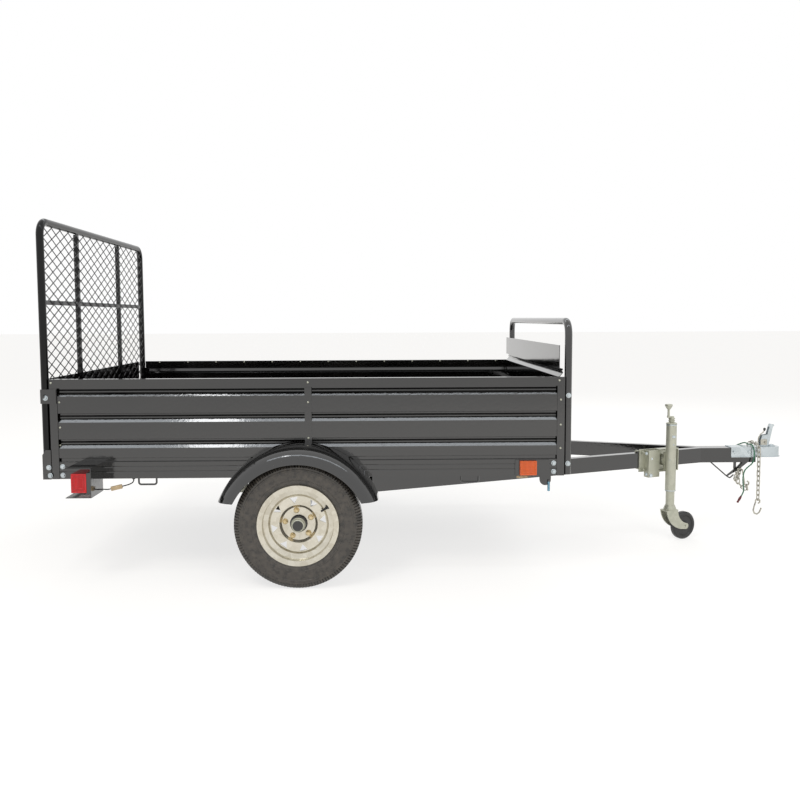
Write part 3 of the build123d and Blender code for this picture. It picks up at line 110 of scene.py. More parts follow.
class TrailerFasteners(bpy.types.PropertyGroup):
    head: bpy.props.FloatProperty(
        name="Bolt head", description="Width across the corners of a bolt head",
        default=0.0165, min=0.004, max=0.04, unit="LENGTH")
    washer: bpy.props.FloatProperty(
        name="Washer", description="Diameter of the washer under a bolt head",
        default=0.022, min=0.006, max=0.05, unit="LENGTH")
    rivet: bpy.props.FloatProperty(
        name="Rivet", description="Diameter of a rivet's head",
        default=0.009, min=0.003, max=0.02, unit="LENGTH")


class TrailerLights(bpy.types.PropertyGroup):
    red: bpy.props.FloatVectorProperty(
        name="Tail lens", description="Colour of the tail lamps' lenses",
        default=(0.55, 0.004, 0.008), min=0.0, max=1.0, subtype="COLOR")
    amber: bpy.props.FloatVectorProperty(
        name="Marker lens", description="Colour of the side markers' lenses",
        default=(0.72, 0.115, 0.012), min=0.0, max=1.0, subtype="COLOR")


class TrailerLeads(bpy.types.PropertyGroup):
    strand: bpy.props.FloatProperty(
        name="Wire", description="Diameter of one wire of the lighting lead",
        default=0.0029, min=0.001, max=0.006, unit="LENGTH")
    twist: bpy.props.FloatProperty(
        name="Lay length", description="Length in which the four wires turn once",
        default=0.055, min=0.03, max=1.0, unit="LENGTH")
    lamp_lead: bpy.props.FloatProperty(
        name="Lamp lead", description="Diameter of the leads to the tail lamps",
        default=0.005, min=0.002, max=0.01, unit="LENGTH")


class TrailerStage(bpy.types.PropertyGroup):
    key_power: bpy.props.FloatProperty(
        name="Key light", description="Power of the overhead soft light, watts",
        default=90.0, min=0.0, max=5000.0)
    fill_power: bpy.props.FloatProperty(
        name="Fill light", description="Power of the wide light in front, watts",
        default=160.0, min=0.0, max=5000.0)
    lens: bpy.props.FloatProperty(
        name="Lens", description="Focal length of the camera, millimetres",
        default=38.823, min=10.0, max=200.0)


# ------------------------------------------------------------------ materials

def wire(links, *joints):
    """Links node outputs to node inputs, each given as (node, output, node, input)."""
    for start, output, end, socket in joints:
        links.new(start.outputs[output], end.inputs[socket])


def new_group(name, rough, extra, build):
    """Makes a shader node group that turns one share into a colour between two tones.

    Where rough is set, the same share gives a roughness too. build adds the nodes that make the
    share and the height, and returns their outputs.
    """
    group = bpy.data.node_groups.new(name, "ShaderNodeTree")
    inputs = [("Dark", "Color", (0.01, 0.01, 0.01, 1)), ("Light", "Color", (0.03, 0.03, 0.03, 1)),
              ("Scale", "Float", 12.0)]
    outputs = [("Color", "Color"), ("Height", "Float")]
    if rough:
        inputs += [("Low roughness", "Float", 0.1), ("High roughness", "Float", 0.3)]
        outputs.insert(1, ("Roughness", "Float"))
    for socket, kind, value in (*inputs, *extra):
        made = group.interface.new_socket(name=socket, in_out="INPUT",
                                          socket_type=f"NodeSocket{kind}")
        made.default_value = value
    for socket, kind in outputs:
        group.interface.new_socket(name=socket, in_out="OUTPUT", socket_type=f"NodeSocket{kind}")
    nodes, links = group.nodes, group.links
    start, end = nodes.new("NodeGroupInput"), nodes.new("NodeGroupOutput")
    where = nodes.new("ShaderNodeTexCoord").outputs["Object"]
    share, height = build(nodes, links, start, where)
    mix = nodes.new("ShaderNodeMix")
    mix.data_type = "RGBA"
    links.new(share, mix.inputs["Factor"])
    links.new(height, end.inputs["Height"])
    wire(links, (start, "Dark", mix, "A"), (start, "Light", mix, "B"),
         (mix, "Result", end, "Color"))
    if rough:
        spread = nodes.new("ShaderNodeMapRange")
        links.new(share, spread.inputs["Value"])
        wire(links, (start, "Low roughness", spread, "To Min"),
             (start, "High roughness", spread, "To Max"), (spread, "Result", end, "Roughness"))


def mottle(nodes, links, start, where):
    """Slow noise with more contrast as the share, fine noise as the height."""
    coarse, fine = (nodes.new("ShaderNodeTexNoise") for _ in range(2))
    for noise, size in ((coarse, "Scale"), (fine, "Grain")):
        noise.inputs["Detail"].default_value = 3.0
        links.new(where, noise.inputs["Vector"])
        links.new(start.outputs[size], noise.inputs["Scale"])
    contrast = nodes.new("ShaderNodeMapRange")
    contrast.inputs["From Min"].default_value = 0.3
    contrast.inputs["From Max"].default_value = 0.7
    wire(links, (coarse, "Fac", contrast, "Value"))
    return contrast.outputs["Result"], fine.outputs["Fac"]


def spangle(nodes, links, start, where):
    """Zinc crystals: cells of slightly different tone, mixed with clouds."""
    cells = nodes.new("ShaderNodeTexVoronoi")
    clouds = nodes.new("ShaderNodeTexNoise")
    clouds.inputs["Scale"].default_value = 9.0
    clouds.inputs["Detail"].default_value = 4.0
    both = nodes.new("ShaderNodeMix")
    both.inputs["Factor"].default_value = 0.55
    tone = nodes.new("ShaderNodeSeparateColor")
    links.new(where, cells.inputs["Vector"])
    links.new(where, clouds.inputs["Vector"])
    wire(links, (start, "Scale", cells, "Scale"), (cells, "Color", tone, "Color"),
         (tone, "Red", both, "A"), (clouds, "Fac", both, "B"))
    return both.outputs["Result"], clouds.outputs["Fac"]


def prisms(nodes, links, start, where):
    """Fine upright waves, as the prisms inside a lens."""
    waves = nodes.new("ShaderNodeTexWave")
    links.new(where, waves.inputs["Vector"])
    wire(links, (start, "Scale", waves, "Scale"))
    return waves.outputs["Fac"], waves.outputs["Fac"]


# name: has a roughness, further inputs, builder
GROUPS = {
    "Mottle": (True, (("Grain", "Float", 320.0),), mottle),
    "Spangle": (True, (), spangle),
    "Prisms": (False, (), prisms),
}

# name: group, dark, light, scale, roughness low and high, metallic, coat, bump distance in
# metres, IOR
FINISHES = {
    "powder_black": ("Mottle", (0.0012, 0.0012, 0.0013), (0.004, 0.0036, 0.0032), 2.6,
                     0.05, 0.12, 0.0, 0.4, 0.0009, 1.75),
    "gate_black": ("Mottle", (0.0008, 0.0008, 0.0009), (0.002, 0.002, 0.002), 6.0,
                   0.10, 0.20, 0.0, 0.0, 0.0002, 1.38),
    "deck_black": ("Mottle", (0.004, 0.004, 0.004), (0.014, 0.012, 0.011), 5.0,
                   0.28, 0.45, 0.0, 0.0, 0.0001, 1.6),
    "steel_black": ("Mottle", (0.003, 0.003, 0.003), (0.009, 0.008, 0.0075), 9.0,
                    0.2, 0.34, 0.0, 0.1, 0.0001, 1.7),
    "tyre_black": ("Mottle", (0.026, 0.0240, 0.0215), (0.080, 0.0700, 0.059), 46.0,
                   0.22, 0.40, 0.0, 0.0, 0.0012, 1.55),
    # darker rubber for the tyres' slots and grooves: painted shade in these recesses
    "tyre_slot_painted_shade": ("Mottle", (0.004, 0.004, 0.004), (0.008, 0.008, 0.007), 22.0,
                  0.5, 0.7, 0.0, 0.0, 0.0002, 1.5),
    "rim_zinc": ("Spangle", (0.50, 0.46, 0.37), (0.74, 0.71, 0.62), 46.0,
                 0.14, 0.26, 0.86, 0.0, 0.00006, 1.5),
    "galvanised": ("Spangle", (0.42, 0.43, 0.35), (0.56, 0.56, 0.47), 52.0,
                   0.30, 0.46, 0.62, 0.0, 0.00012, 1.5),
    "zinc_bright": ("Spangle", (0.42, 0.47, 0.49), (0.66, 0.72, 0.75), 30.0,
                    0.16, 0.30, 0.62, 0.0, 0.00004, 1.5),
    "chain_zinc": ("Spangle", (0.34, 0.33, 0.28), (0.66, 0.64, 0.57), 120.0,
                   0.22, 0.38, 0.92, 0.0, 0.00005, 1.5),
    "passivated": ("Mottle", (0.52, 0.40, 0.20), (0.72, 0.60, 0.38), 60.0,
                   0.2, 0.34, 0.9, 0.0, 0.00005, 1.5),
    "blued_zinc": ("Mottle", (0.05, 0.14, 0.22), (0.20, 0.38, 0.48), 40.0,
                   0.16, 0.3, 0.8, 0.0, 0.00005, 1.5),
    "roller_black": ("Mottle", (0.012, 0.012, 0.012), (0.026, 0.026, 0.026), 30.0,
                     0.3, 0.45, 0.0, 0.0, 0.0001, 1.55),
    "cable_black": ("Mottle", (0.006, 0.006, 0.006), (0.014, 0.014, 0.014), 40.0,
                    0.3, 0.45, 0.0, 0.0, 0.00005, 1.5),
    "connector_tan": ("Mottle", (0.42, 0.31, 0.18), (0.60, 0.47, 0.30), 45.0,
                      0.35, 0.5, 0.0, 0.0, 0.0001, 1.5),
    "plug_red": ("Mottle", (0.075, 0.008, 0.012), (0.14, 0.018, 0.022), 45.0,
                 0.35, 0.5, 0.0, 0.0, 0.0001, 1.5),
    "wire_green": ("Mottle", (0.025, 0.13, 0.07), (0.05, 0.21, 0.12), 30.0,
                   0.32, 0.45, 0.0, 0.0, 0.00005, 1.5),
    "wire_yellow": ("Mottle", (0.62, 0.52, 0.05), (0.78, 0.68, 0.12), 30.0,
                    0.32, 0.45, 0.0, 0.0, 0.00005, 1.5),
    "wire_brown": ("Mottle", (0.23, 0.09, 0.025), (0.34, 0.15, 0.05), 30.0,
                   0.32, 0.45, 0.0, 0.0, 0.00005, 1.5),
    "wire_white": ("Mottle", (0.66, 0.66, 0.62), (0.80, 0.80, 0.77), 30.0,
                   0.32, 0.45, 0.0, 0.0, 0.00005, 1.5),
}

# size of the surface's small unevenness, where it isn't the usual one
GRAIN = {"powder_black": 85.0, "tyre_black": 150.0}


def effect_material(name, group, values, strength, distance):
    """A new material with its colour and its bump from a node group: material, shader, group."""
    if group not in bpy.data.node_groups:
        new_group(group, *GROUPS[group])
    made = bpy.data.materials.new(name)
    made.use_nodes = True
    nodes, links = made.node_tree.nodes, made.node_tree.links
    shader = nodes["Principled BSDF"]
    effect = nodes.new("ShaderNodeGroup")
    effect.node_tree = bpy.data.node_groups[group]
    for socket, value in values.items():
        effect.inputs[socket].default_value = value
    bump = nodes.new("ShaderNodeBump")
    bump.inputs["Strength"].default_value = strength
    bump.inputs["Distance"].default_value = distance
    wire(links, (effect, "Color", shader, "Base Color"), (effect, "Height", bump, "Height"),
         (bump, "Normal", shader, "Normal"))
    made.diffuse_color = values["Light"]
    return made, shader, effect


def finish(name):
    """The named procedural material, made once."""
    if name in bpy.data.materials:
        return bpy.data.materials[name]
    group, dark, light, scale, low, high, metallic, coat, distance, bend = FINISHES[name]
    values = {"Dark": (*dark, 1), "Light": (*light, 1), "Scale": scale, "Low roughness": low,
              "High roughness": high}
    if name in GRAIN:
        values["Grain"] = GRAIN[name]
    made, shader, effect = effect_material(name, group, values, 0.35, distance)
    wire(made.node_tree.links, (effect, "Roughness", shader, "Roughness"))
    for socket, value in (("Metallic", metallic), ("Coat Weight", coat),
                          ("Coat Roughness", 0.04), ("IOR", bend)):
        shader.inputs[socket].default_value = value
    return made


def lens_finish(name, colour, glow):
    """Clear coloured plastic with fine upright prisms inside, made once. Its faint glow in its own
    colour is painted light that stands for light through the plastic.
    """
    if name in bpy.data.materials:
        return bpy.data.materials[name]
    values = {"Dark": (*[c * 0.45 for c in colour], 1), "Light": (*colour, 1), "Scale": 60.0}
    made, shader, effect = effect_material(name, "Prisms", values, 0.4, 0.0006)
    # the emission is a faint painted glow of light through the lens
    wire(made.node_tree.links, (effect, "Color", shader, "Emission Color"))
    shader.inputs["Roughness"].default_value = 0.12
    shader.inputs["Emission Strength"].default_value = glow
    return made


# finish of each material slot, and of the parts that differ from their slot
SLOT_FINISH = {
    "black_paint": "powder_black", "tyre_rubber": "tyre_black", "galvanised_rim": "rim_zinc",
    "roller_rubber": "roller_black", "zinc_plate": "zinc_bright",
    "galvanised_steel": "galvanised", "cable_black": "cable_black",
    "plug_plastic": "connector_tan",
}
NODE_FINISH = {
    "gate_frame": "gate_black", "gate_braces": "gate_black", "gate_mesh": "gate_black",
    "deck": "deck_black", "safety_chain_hung": "chain_zinc", "safety_chain_gathered": "chain_zinc",
    "axle": "steel_black", "leaf_spring_left": "steel_black", "leaf_spring_right": "steel_black",
    "spring_clamps": "steel_black", "hub_left": "steel_black", "hub_right": "steel_black",
    "harness_plug": "plug_red",
}


def paint(obj, material):
    """Gives obj this one material."""
    obj.data.materials.clear()
    obj.data.materials.append(material)


# ------------------------------------------------------------------ mesh helpers

def from_bmesh(name, shape, body, materials, smooth=35):
    """Turns a bmesh into a new piece that rides on a body, with one material or a list.

    It is smooth apart from edges sharper than the given degrees.
    """
    mesh = bpy.data.meshes.new(name)
    bmesh.ops.recalc_face_normals(shape, faces=shape.faces)
    shape.to_mesh(mesh)
    shape.free()
    for polygon in mesh.polygons:
        polygon.use_smooth = True
    mesh.set_sharp_from_angle(angle=math.radians(smooth))
    obj = bpy.data.objects.new(name, mesh)
    bpy.context.scene.collection.objects.link(obj)
    # clearing also sets every face back to the first material, so the others aren't shown
    mesh.materials.clear()
    for material in materials if isinstance(materials, list) else [materials]:
        mesh.materials.append(material)
    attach(obj, body)
    return obj


def middle_of(name):
    """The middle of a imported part's box."""
    low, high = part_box(name)
    return (Vector(low) + Vector(high)) / 2


def turned_to(axis, about=0.0):
    """A turn that takes +Z to axis, after a turn about +Z."""
    way = Vector((0, 0, 1)).rotation_difference(Vector(axis).normalized())
    return way.to_matrix().to_4x4() @ Matrix.Rotation(about, 4, "Z")


def ring_at(shape, place, along, radius, sides):
    """A ring of points around the z axis of place, the given distance along it."""
    return [shape.verts.new(place @ Vector((radius * math.cos(math.tau * i / sides),
                                            radius * math.sin(math.tau * i / sides), along)))
            for i in range(sides)]


def add_skin(shape, rings, skin=0, caps=True):
    """Faces from each ring of points to the next, and over both ends."""
    faces = [shape.faces.new(reversed(rings[0])), shape.faces.new(rings[-1])] if caps else []
    for one, two in zip(rings, rings[1:]):
        for i in range(len(one)):
            j = (i + 1) % len(one)
            faces.append(shape.faces.new((one[i], one[j], two[j], two[i])))
    for face in faces:
        face.material_index = skin


def add_lathe(shape, centre, axis, outline, sides=32, about=0.0, skin=0):
    """A closed turned solid; outline is (distance along the axis, radius) from end to end."""
    place = Matrix.Translation(Vector(centre)) @ turned_to(axis, about)
    add_skin(shape, [ring_at(shape, place, along, radius, sides) for along, radius in outline],
             skin)


def add_slab(shape, centre, size, chamfer=0.0008, turn=None, skin=0):
    """A block with chamfered edges and corners, size as (x, y, z)."""
    half = Vector(size) / 2
    place = Matrix.Translation(Vector(centre)) @ (turn or Matrix.Identity(4))
    inner = [max(h - chamfer, h * 0.2) for h in half]
    signs = list(itertools.product((-1, 1), repeat=3))
    corners = {}
    for axis in range(3):
        for sign in signs:
            point = [s * (half[k] if k == axis else inner[k]) for k, s in enumerate(sign)]
            corners[axis, sign] = shape.verts.new(place @ Vector(point))
    faces = []
    for axis in range(3):
        a, b = [k for k in range(3) if k != axis]

        def corner(which, along, across, up):
            sign = [0, 0, 0]
            sign[axis], sign[a], sign[b] = along, across, up
            return corners[which, tuple(sign)]

        for side in (-1, 1):
            faces.append(shape.faces.new([corner(axis, side, across, up) for across, up in (
                (-1, -1), (1, -1), (1, 1), (-1, 1))]))
        for across, up in itertools.product((-1, 1), repeat=2):
            faces.append(shape.faces.new([corner(which, along, across, up) for which, along in (
                (a, -1), (a, 1), (b, 1), (b, -1))]))
    faces += [shape.faces.new([corners[k, sign] for k in range(3)]) for sign in signs]
    for face in faces:
        face.material_index = skin


def add_frame(shape, centre, size, bar, tall, axis):
    """A rectangular frame of bars, flat against the plane across the given axis (0 or 1)."""
    wide, high = size
    for sign, stands in ((1, False), (-1, False), (1, True), (-1, True)):
        flat, block = Vector((0, 0, 0)), [0, 0, 0]
        block[axis] = tall
        if stands:
            flat[1 - axis] = sign * (wide - bar) / 2
            block[1 - axis], block[2] = bar, high - 2 * bar
        else:
            flat[2] = sign * (high - bar) / 2
            block[1 - axis], block[2] = wide, bar
        add_slab(shape, Vector(centre) + flat, block, 0.0005)


def add_bolt(shape, place, out, across, washer):
    """Washer and chamfered hexagon head that stand on place and point along out."""
    thick = 0.0016
    add_lathe(shape, place, out, [(0.0, washer / 2), (thick - 0.0005, washer / 2),
                                  (thick, washer / 2 - 0.0005)], 24)
    top = across * 0.36
    add_lathe(shape, Vector(place) + Vector(out).normalized() * thick, out,
              [(0.0, across / 2 * 0.97), (top * 0.75, across / 2),
               (top, across / 2 * 0.84)], 6, about=0.35)


def add_rivet(shape, place, out, across, skin=0):
    """A low dome that stands on place."""
    r = across / 2
    add_lathe(shape, place, out, [(0.0, r), (r * 0.18, r * 0.97), (r * 0.42, r * 0.75),
                                  (r * 0.55, r * 0.4), (r * 0.58, r * 0.12)], 16, skin=skin)


def add_tube(shape, points, radius, sides=10, skin=0, offset=None):
    """A round rod along points; offset gives a strand's place around them at each step."""
    points = [Vector(p) for p in points]
    ways = [(points[min(i + 1, len(points) - 1)] - points[max(i - 1, 0)]).normalized()
            for i in range(len(points))]
    side = ways[0].orthogonal().normalized()
    rings = []
    travelled = 0.0
    for i, (point, way) in enumerate(zip(points, ways)):
        if i:
            travelled += (point - points[i - 1]).length
            side = (side - way * side.dot(way)).normalized()
        up = way.cross(side)
        centre = point
        if offset:
            away, angle = offset(travelled)
            centre = point + (side * math.cos(angle) + up * math.sin(angle)) * away
        rings.append([shape.verts.new(centre + (side * math.cos(math.tau * k / sides)
                                                + up * math.sin(math.tau * k / sides)) * radius)
                      for k in range(sides)])
    add_skin(shape, rings, skin)


def node_tree(name):
    """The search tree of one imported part's surface."""
    mesh = frame["nodes"][name].data
    return BVHTree.FromPolygons([v.co for v in mesh.vertices],
                                [tuple(p.vertices) for p in mesh.polygons])


def seat(trees, start, way):
    """Where a line from start first meets the given parts, so that a fitting stands on them."""
    best = None
    for tree in trees:
        place, _, _, distance = tree.ray_cast(Vector(start), Vector(way))
        if place is not None and (best is None or distance < best[1]):
            best = (place, distance)
    if best is None:
        raise RuntimeError(f"no part under a fitting at {start}")
    return best[0]


# ------------------------------------------------------------------ leads

# control points of the lighting lead, from its grommet on the tongue to its plug
HARNESS_ROUTE = (
    (1.454, 0.0433, 0.402), (1.454, 0.0663, 0.402), (1.492, 0.0743, 0.410),
    (1.548, 0.0723, 0.424), (1.592, 0.062, 0.447), (1.607, 0.034, 0.459), (1.611, 0.0, 0.452),
    (1.613, -0.034, 0.459), (1.616, -0.058, 0.436), (1.617, -0.060, 0.392),
    (1.610, -0.057, 0.360), (1.592, -0.052, 0.344), (1.572, -0.048, 0.322),
    (1.566, -0.047, 0.288), (1.567, -0.047, 0.254), (1.573, -0.046, 0.226),
    (1.571, -0.045, 0.204), (1.561, -0.045, 0.187),
)
# steps from the grommet under the sill: forward, outward, up
TAIL_LEAD_START = (-1.394, 0.7682, 0.4347)
TAIL_LEAD_STEPS = ((0, 0, 0), (0, 0, -0.011), (-0.013, 0.005, -0.020),
                   (-0.0307, 0.0106, -0.0249), (-0.046, 0.014, -0.028))
LAMP_LEAD_STEPS = ((-0.091, 0.024, -0.037), (-0.1035, 0.0268, -0.0395),
                   (-0.115, 0.033, -0.037), (-0.1268, 0.033, -0.037))


def route(name, points):
    """A smooth open curve with the given control points."""
    data = bpy.data.curves.new(name, "CURVE")
    data.dimensions = "3D"
    spline = data.splines.new("NURBS")
    spline.points.add(len(points) - 1)
    for knot, point in zip(spline.points, points):
        knot.co = (*point, 1)
    spline.order_u = 3
    spline.use_endpoint_u = True
    data.resolution_u = 10
    return data


def line_of(data):
    """The points along a curve that has no thickness yet."""
    probe = bpy.data.objects.new("probe", data)
    bpy.context.scene.collection.objects.link(probe)
    mesh = bpy.data.meshes.new_from_object(probe)
    points = [v.co.copy() for v in mesh.vertices]
    bpy.data.meshes.remove(mesh)
    bpy.data.objects.remove(probe)
    return points


def line_length(points):
    """The length of a line through the points."""
    return sum((b - a).length for a, b in zip(points, points[1:]))


class OBJECT_OT_leads(bpy.types.Operator):
    """Makes the lighting lead with its four coloured wires, the lamps' leads and connectors"""
    bl_idname = "trailer.leads"
    bl_label = "Leads"

    def execute(self, context):
        settings = context.scene.trailer_leads
        self.harness(settings)
        for side, sign in SIDES:
            self.lamp_leads(side, sign, settings)
        return {"FINISHED"}

    def harness(self, settings):
        points = line_of(route("harness_route", HARNESS_ROUTE))
        away = settings.strand * 0.7
        shape = bmesh.new()
        for wire in range(4):
            add_tube(shape, points, settings.strand / 2, 10, wire,
                     lambda gone, wire=wire: (away, math.tau * (gone / settings.twist + wire / 4)))
        wires = from_bmesh("harness_wires", shape, "trailer",
                           [finish(n) for n in ("wire_green", "wire_yellow", "wire_brown",
                                                "wire_white")])
        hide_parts("harness_lead")
        # plug: socket body, finger ribs and a dark sleeve where the wires enter
        end, way = points[-1], (points[-1] - points[-2]).normalized()
        shape = bmesh.new()
        across = Vector((0, 1, 0))
        turn = Matrix((across.cross(way), across, way)).transposed().to_4x4()
        for start, long, wide, deep, skin in (
                (0.0005, 0.0095, 0.0086, 0.0078, 1), (0.009, 0.0175, 0.0100, 0.0100, 0),
                (0.0120, 0.0016, 0.0100, 0.0108, 1), (0.0160, 0.0016, 0.0100, 0.0108, 1),
                (0.0200, 0.0016, 0.0100, 0.0108, 1), (0.0262, 0.0150, 0.0092, 0.0080, 1)):
            add_slab(shape, end + way * (start + long / 2), (deep, wide, long), 0.0009, turn, skin)
        plug = from_bmesh("harness_plug_body", shape, "trailer",
                          [finish("plug_red"), finish("cable_black")])
        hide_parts("harness_plug")

    def lamp_leads(self, side, sign, settings):
        x, y, z = TAIL_LEAD_START
        for kind, steps in (("tail", TAIL_LEAD_STEPS), ("lamp_end", LAMP_LEAD_STEPS)):
            points = [(x + a, sign * (y + b), z + c) for a, b, c in steps]
            data = route(f"{kind}_lead_{side}", points)
            long = line_length(line_of(data))
            data.bevel_depth = settings.lamp_lead / 2
            data.bevel_resolution = 4
            data.use_fill_caps = True
            data.materials.append(finish("cable_black"))
            lead = bpy.data.objects.new(f"{kind}_lead_{side}", data)
            bpy.context.scene.collection.objects.link(lead)
            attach(lead, "trailer")
            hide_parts(f"lamp_lead_{side}")


# ------------------------------------------------------------------ frame

class OBJECT_OT_finish_frame(bpy.types.Operator):
    """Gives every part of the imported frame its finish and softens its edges"""
    bl_idname = "trailer.finish_frame"
    bl_label = "Finish frame"

    def execute(self, context):
        settings = context.scene.trailer_finish
        lights = context.scene.trailer_lights
        slots = {p["node"]: p["material_slot"] for p in frame["record"]["subparts"]}
        for name, obj in frame["nodes"].items():
            slot = slots[name]
            # the lenses glow faintly in their own colour: painted light through the plastic
            if slot == "red_lens":
                paint(obj, lens_finish("lens_red", tuple(lights.red), 0.12))
            elif slot == "amber_lens":
                paint(obj, lens_finish("lens_amber", tuple(lights.amber), 0.12))
            else:
                paint(obj, finish(NODE_FINISH.get(name, SLOT_FINISH.get(slot))))
            for polygon in obj.data.polygons:
                polygon.use_smooth = True
            chain = name.startswith("safety_chain")
            obj.data.set_sharp_from_angle(angle=math.radians(75 if chain else 32))
            if name.startswith(("side_panel", "side_frame", "headboard_panel", "frame_rail",
                                "gate_bracket", "tongue_rail", "lamp_guard", "jack_bracket")):
                soft = obj.modifiers.new("Soft edges", "BEVEL")
                soft.width = settings.edge_radius
                soft.segments = 2
                soft.limit_method = "ANGLE"
                soft.angle_limit = math.radians(12)
                soft.harden_normals = True
        return {"FINISHED"}


# ------------------------------------------------------------------ wheels

# distance from the tyre's middle plane, radius, share of the shoulder slots' depth
TYRE_HALF = (
    (0.0500, 0.1555, 0), (0.0523, 0.1660, 0), (0.0526, 0.1705, 0), (0.0552, 0.1750, 0),
    (0.0578, 0.1800, 0), (0.0592, 0.1822, 0), (0.0592, 0.1842, 0), (0.0586, 0.1860, 0),
    (0.0596, 0.1900, 0), (0.0606, 0.1908, 0), (0.0606, 0.1922, 0), (0.0598, 0.1930, 0),
    (0.0604, 0.2060, 0), (0.0605, 0.2200, 0), (0.0598, 0.2290, 0), (0.0608, 0.2300, 0),
    (0.0605, 0.2330, 0), (0.0603, 0.2352, 0), (0.0588, 0.2370, 0), (0.0578, 0.2425, 0),
    (0.0584, 0.2440, 0), (0.0574, 0.2470, 1), (0.0556, 0.2520, 1), (0.0528, 0.2570, 1),
    (0.0495, 0.2612, 1), (0.0460, 0.2642, 1), (0.0420, 0.2658, 1), (0.0360, 0.2666, 0.9),
    (0.0345, 0.2667, 0), (0.0338, 0.2600, 0), (0.0290, 0.2600, 0), (0.0283, 0.2671, 0),
    (0.0140, 0.2674, 0), (0.0132, 0.2604, 0), (0.0086, 0.2604, 0), (0.0078, 0.2675, 0),
)
# start of each step round one shoulder lug, as a share of it, and whether it lies in the slot
LUG_STEPS = ((0.0, False), (0.56, False), (0.62, True), (0.94, True))
# the tread's grooves lie under this radius, and this far or less from the middle plane; their
# faces get the darker finish as painted shade
GROOVE_RADIUS = 0.261
GROOVE_REACH = 0.0346


class OBJECT_OT_tyres(bpy.types.Operator):
    """Makes both tyres with ringed sidewalls, grooved tread and slotted shoulders"""
    bl_idname = "trailer.tyres"
    bl_label = "Tyres"

    def execute(self, context):
        settings = context.scene.trailer_tyres
        outline = list(TYRE_HALF) + [(-a, r, s) for a, r, s in reversed(TYRE_HALF)]
        sunk = []
        for i, (away, radius, share) in enumerate(outline):
            before, after = outline[i - 1], outline[(i + 1) % len(outline)]
            along = Vector((after[0] - before[0], after[1] - before[1])).normalized()
            inward = Vector((along[1], -along[0]))
            if inward[1] > 0:
                inward = -inward
            sunk.append(Vector((away, radius)) + inward * settings.slot_depth * share)
        steps = []
        for lug in range(settings.shoulder_lugs):
            for part, slot in LUG_STEPS:
                steps.append((math.tau * (lug + part) / settings.shoulder_lugs, slot))
        for side, sign in SIDES:
            centre = middle_of(f"tyre_{side}")
            shape = bmesh.new()
            rings = []
            for angle, slot in steps:
                c, s = math.cos(angle), math.sin(angle)
                ring = []
                for (away, radius, share), deep in zip(outline, sunk):
                    a, r = deep if slot and share else (away, radius)
                    ring.append(shape.verts.new(
                        (centre[0] + r * c, centre[1] + sign * a, centre[2] + r * s)))
                rings.append(ring)
            for step, (ring, other) in enumerate(zip(rings, rings[1:] + rings[:1])):
                for i in range(len(ring)):
                    j = (i + 1) % len(ring)
                    face = shape.faces.new((ring[i], ring[j], other[j], other[i]))
                    # faces in the shoulder slots and in the tread's grooves get the second, darker
                    # finish: painted shade in these recesses
                    cut = step % len(LUG_STEPS) and outline[i][2] and outline[j][2]
                    away, radius, _ = outline[i]
                    groove = radius < GROOVE_RADIUS and abs(away) < GROOVE_REACH
                    face.material_index = 1 if cut or groove else 0
            tyre = from_bmesh(f"tyre_tread_{side}", shape, f"wheel_{side}_body",
                              [finish("tyre_black"), finish("tyre_slot_painted_shade")], 40)
            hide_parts(f"tyre_{side}")
        return {"FINISHED"}


# places round the wheel of the first nut and of the valve, in degrees from the front
FIRST_NUT = 99
VALVE = 31
# valve's foot from the axle and from the tyre's middle plane
VALVE_RADIUS = 0.1465
VALVE_OUT = 0.034


class OBJECT_OT_wheel_fittings(bpy.types.Operator):
    """Makes the wheel nuts, dust caps and valves"""
    bl_idname = "trailer.wheel_fittings"
    bl_label = "Wheel fittings"

    def execute(self, context):
        settings = context.scene.trailer_tyres
        for side, sign in SIDES:
            centre = middle_of(f"tyre_{side}")
            out = Vector((0, sign, 0))
            body = f"wheel_{side}_body"
            shape = bmesh.new()
            for nut in range(settings.nuts):
                angle = math.tau * nut / settings.nuts + math.radians(FIRST_NUT)
                ray = Vector((math.cos(angle), 0, math.sin(angle)))
                place = centre + ray * settings.nut_circle / 2 + out * 0.008
                add_lathe(shape, place, out, [(0.0, 0.0125), (0.0022, 0.0122),
                                              (0.0036, 0.0108)], 28)
                add_lathe(shape, place + out * 0.0034, out,
                          [(0.0, 0.0098), (0.0075, 0.0098), (0.0092, 0.0086)], 6, about=angle)
                add_lathe(shape, place + out * 0.0122, out,
                          [(0.0, 0.0058), (0.0042, 0.0058), (0.0050, 0.0049)], 18)
            from_bmesh(f"wheel_nuts_{side}", shape, body, finish("passivated"))
            # dust cap: rolled lip, straight wall and shallow dome
            shape = bmesh.new()
            add_lathe(shape, centre, out,
                      [(0.0305, 0.0295), (0.0335, 0.0302), (0.0362, 0.0292), (0.0372, 0.0276),
                       (0.0500, 0.0274), (0.0540, 0.0260), (0.0566, 0.0215), (0.0578, 0.0198),
                       (0.0572, 0.0186), (0.0576, 0.0100), (0.0579, 0.0010)], 64)
            from_bmesh(f"hub_cap_{side}", shape, body, finish("galvanised"))
            # valve: rubber foot on the rim's inner slope, brass stem and cap
            shape = bmesh.new()
            angle = math.radians(VALVE)
            ray = Vector((math.cos(angle), 0, math.sin(angle)))
            foot = centre + ray * VALVE_RADIUS + out * VALVE_OUT
            lean = (-ray * 0.97 + out * 0.26).normalized()
            add_lathe(shape, foot, lean, [(0.0, 0.0085), (0.003, 0.0085), (0.006, 0.0066),
                                          (0.018, 0.0048), (0.021, 0.0042)], 20)
            add_lathe(shape, foot + lean * 0.021, lean, [(0.0, 0.0034), (0.004, 0.0034)], 16,
                      skin=1)
            add_lathe(shape, foot + lean * 0.0248, lean, [(0.0, 0.0044), (0.001, 0.0046),
                                                         (0.010, 0.0044), (0.0114, 0.0034)], 16)
            from_bmesh(f"valve_{side}", shape, body,
                       [finish("cable_black"), finish("passivated")])
        return {"FINISHED"}


# ------------------------------------------------------------------ bed

